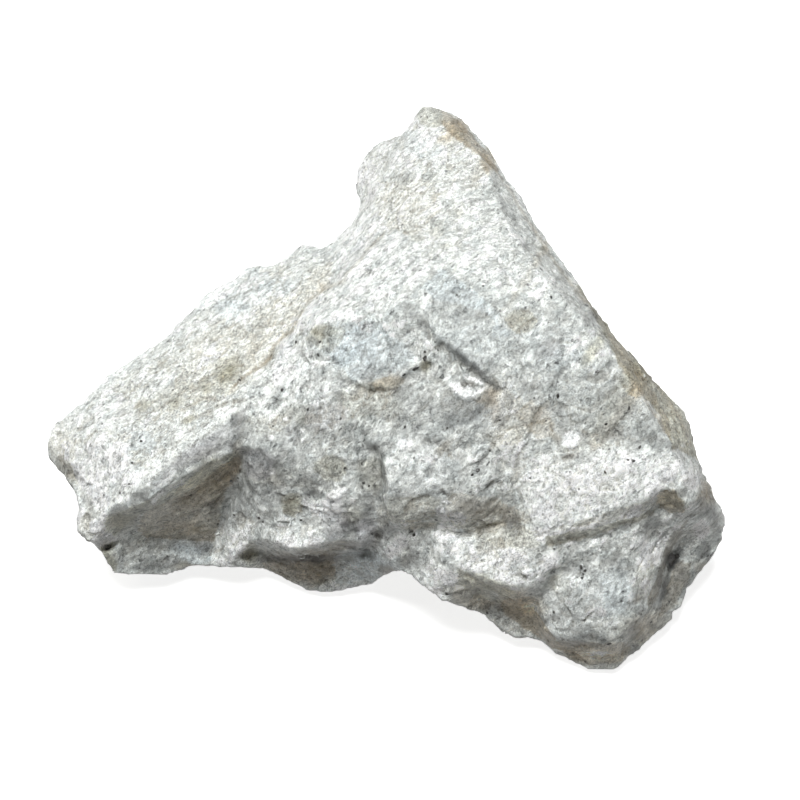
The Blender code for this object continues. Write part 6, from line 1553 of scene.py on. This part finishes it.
    # crystal faces lean their own way, streaks and dust stand out a little
    lean = m.vector("SCALE", m.vector("SUBTRACT", crystal.outputs["Color"], (0.5, 0.5, 0.5)), scale=0.13)
    fine_lean = m.vector("SCALE", m.vector("SUBTRACT", fine_crystal.outputs["Color"], (0.5, 0.5, 0.5)), scale=0.13)
    normal = m.add("ShaderNodeNewGeometry").outputs["Normal"]
    wide_lean = m.vector("SCALE", m.vector("SUBTRACT", facet.outputs["Color"], (0.5, 0.5, 0.5)), scale=m.math("MULTIPLY", fresh, 0.20))
    normal = m.vector("ADD", normal, wide_lean)
    normal = m.vector("NORMALIZE", m.vector("ADD", normal, m.vector("ADD", lean, fine_lean)))
    coarse = m.add("ShaderNodeBump", Strength=0.5, Distance=0.00022)
    m.link(streak, coarse.inputs["Height"])
    m.link(normal, coarse.inputs["Normal"])
    fine = m.add("ShaderNodeBump", Strength=0.5, Distance=0.00009)
    m.link(dust, fine.inputs["Height"])
    m.link(coarse.outputs[0], fine.inputs["Normal"])
    m.link(fine.outputs[0], m.bsdf.inputs["Normal"])
    m.bsdf.inputs["IOR"].default_value = 1.55
    m.bsdf.inputs["Subsurface Weight"].default_value = 0.16
    m.bsdf.inputs["Subsurface Radius"].default_value = (1.0, 0.95, 0.85)
    m.bsdf.inputs["Subsurface Scale"].default_value = 0.0014
    m.mat.diffuse_color = (0.8, 0.81, 0.78, 1.0)
    return m.mat


def grain_material():
    m = Nodes("dark_grain")
    where = m.vector("SCALE", m.add("ShaderNodeTexCoord").outputs["Object"], scale=1000.0)
    n = m.add("ShaderNodeTexNoise", Scale=4.0, Detail=4.0, Roughness=0.6)
    m.link(where, n.inputs["Vector"])
    m.link(m.mix_colour(m.ramp(n.outputs["Fac"], 0.35, 0.7), (0.012, 0.012, 0.013), (0.075, 0.07, 0.06)), m.bsdf.inputs["Base Color"])
    m.link(m.ramp(n.outputs["Fac"], 0.3, 0.7, 0.22, 0.5), m.bsdf.inputs["Roughness"])
    b = m.add("ShaderNodeBump", Strength=0.5, Distance=0.0001)
    m.link(n.outputs["Fac"], b.inputs["Height"])
    m.link(b.outputs[0], m.bsdf.inputs["Normal"])
    m.mat.diffuse_color = (0.03, 0.03, 0.03, 1.0)
    return m.mat


def floor_material():
    m = Nodes("plain_floor")
    where = m.add("ShaderNodeTexCoord").outputs["Object"]
    n = m.add("ShaderNodeTexNoise", Scale=40.0, Detail=3.0)
    m.link(where, n.inputs["Vector"])
    m.link(m.mix_colour(m.ramp(n.outputs["Fac"], 0.3, 0.7), (0.93, 0.93, 0.925), (0.95, 0.95, 0.945)), m.bsdf.inputs["Base Color"])
    m.bsdf.inputs["Roughness"].default_value = 0.9
    m.bsdf.inputs["Specular IOR Level"].default_value = 0.1
    m.bsdf.inputs["Emission Color"].default_value = (1.0, 1.0, 1.0, 1.0)
    m.bsdf.inputs["Emission Strength"].default_value = 0.72
    return m.mat


# ---- dark accessory grains -------------------------------------------------
def dark_grains(lump_mesh):
    """Small dark crystals set into the surface, joined as one mesh."""
    co = points_of(lump_mesh)
    tree = BVHTree.FromPolygons([Vector(v) for v in co], [tuple(q.vertices) for q in lump_mesh.polygons])
    rng = np.random.default_rng(77)
    spots = []
    shift = SHIFT * MM
    for x, y, width, height, turn in GRAINS:
        d = Vector(sight_lines(np.array([float(x)]), np.array([float(y)]))[0]).normalized()
        hit, normal, _, _ = tree.ray_cast(Vector(EYE * MM), d)
        if hit is None:
            continue
        spots.append((hit, normal, width, height, turn))
    area = np.array([q.area for q in lump_mesh.polygons])
    centres = rng.choice(len(area), size=EXTRA_GRAINS, p=area / area.sum())
    for k in centres:
        q = lump_mesh.polygons[int(k)]
        c = q.center
        if c.z < 0.0006:
            continue
        w = float(rng.uniform(0.8, 1.7))
        spots.append((c.copy(), q.normal.copy(), w, w * float(rng.uniform(0.6, 1.4)), float(rng.uniform(0, 180))))
    base = [(-1, 0, 0), (1, 0, 0), (0, -1, 0), (0, 1, 0), (0, 0, -1), (0, 0, 1)]
    unit = SIGHT_DISTANCE / SHEET_FOCAL * MM
    verts, faces = [], []
    t = (1 + 5 ** 0.5) / 2
    ico_v = np.array([(-1, t, 0), (1, t, 0), (-1, -t, 0), (1, -t, 0), (0, -1, t), (0, 1, t),
                      (0, -1, -t), (0, 1, -t), (t, 0, -1), (t, 0, 1), (-t, 0, -1), (-t, 0, 1)], float)
    ico_v /= np.linalg.norm(ico_v[0])
    ico_f = [(0, 11, 5), (0, 5, 1), (0, 1, 7), (0, 7, 10), (0, 10, 11), (1, 5, 9), (5, 11, 4), (11, 10, 2),
             (10, 7, 6), (7, 1, 8), (3, 9, 4), (3, 4, 2), (3, 2, 6), (3, 6, 8), (3, 8, 9), (4, 9, 5),
             (2, 4, 11), (6, 2, 10), (8, 6, 7), (9, 8, 1)]
    for hit, normal, width, height, turn in spots:
        z = normal.normalized()
        across = Vector((1, 0, 0))
        across = (across - z * across.dot(z)).normalized()
        up = z.cross(across)
        a = math.radians(turn)
        u = across * math.cos(a) + up * math.sin(a)
        v = z.cross(u)
        wob = 1.0 + 0.6 * (rng.random(12) - 0.5)
        start = len(verts)
        for k, q in enumerate(ico_v):
            q = q * wob[k]
            p = hit + (u * q[0] * width + v * q[1] * height) * unit * 0.48 + z * (q[2] * 0.16 * min(width, height) * unit)
            p.z = max(p.z, 0.0)
            verts.append(tuple(p))
        faces += [tuple(start + k for k in f) for f in ico_f]
    mesh = bpy.data.meshes.new("dark_grains")
    mesh.from_pydata(verts, [], faces)
    mesh.update()
    return mesh


# ---- build -----------------------------------------------------------------
lump_mesh, heights = build_lump()
paint(lump_mesh, heights)
grains_mesh = dark_grains(lump_mesh)
for mesh in (lump_mesh, grains_mesh):
    co = points_of(mesh) - SHIFT * MM
    mesh.vertices.foreach_set("co", co.astype(np.float32).ravel())
    mesh.update()
lump = bpy.data.objects.new("humite_surface", lump_mesh)
grains = bpy.data.objects.new("dark_grains", grains_mesh)
for piece, material in ((lump, humite_material()), (grains, grain_material())):
    bpy.context.scene.collection.objects.link(piece)
    piece.data.materials.clear()
    piece.data.materials.append(material)
    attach(piece, "root")
lump_mesh.shade_smooth()
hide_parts("humite_rock")

# ---- floor, light, camera --------------------------------------------------
bpy.ops.mesh.primitive_plane_add(size=6.0, location=(0, 0, -0.00005))
floor = bpy.context.active_object
floor.name = "floor"
floor.data.materials.append(floor_material())
floor.visible_diffuse = False

world = bpy.data.worlds.new("studio")
bpy.context.scene.world = world
world.use_nodes = True
world.node_tree.nodes["Background"].inputs[0].default_value = (1.0, 0.985, 0.95, 1.0)
world.node_tree.nodes["Background"].inputs[1].default_value = 0.17


def softbox(name, azimuth, elevation, distance, size, energy, colour=(1, 1, 1)):
    light = bpy.data.lights.new(name, "AREA")
    light.shape = "SQUARE"
    light.size = size
    light.energy = energy
    light.color = colour
    holder = bpy.data.objects.new(name, light)
    bpy.context.scene.collection.objects.link(holder)
    a, e = math.radians(azimuth), math.radians(elevation)
    place = Vector((math.sin(a) * math.cos(e), math.cos(a) * math.cos(e), math.sin(e))) * distance
    holder.location = place
    holder.rotation_mode = "QUATERNION"
    holder.rotation_quaternion = (Vector((0, 0, 0.02)) - place).to_track_quat("-Z", "Y")
    return holder


softbox("key", -70, 85, 0.9, 0.36, 7.6, (0.985, 1.0, 0.998))
softbox("fill", -60, 50, 1.1, 0.8, 1.5, (1.0, 0.985, 0.945))

camera_data = bpy.data.cameras.new("camera")
camera_data.lens = 120.0
camera_data.sensor_width = 36.0
camera_data.clip_start = 0.01
camera = bpy.data.objects.new("camera", camera_data)
bpy.context.scene.collection.objects.link(camera)
camera.location = Vector((EYE - SHIFT) * MM)
camera.rotation_mode = "QUATERNION"
camera.rotation_quaternion = Vector(FORWARD).to_track_quat("-Z", "Y")
bpy.context.scene.camera = camera
bpy.context.scene.view_settings.view_transform = "Standard"
bpy.context.scene.view_settings.look = "None"

print("triangles", sum(len(q.vertices) - 2 for q in lump_mesh.polygons), len(grains_mesh.polygons))
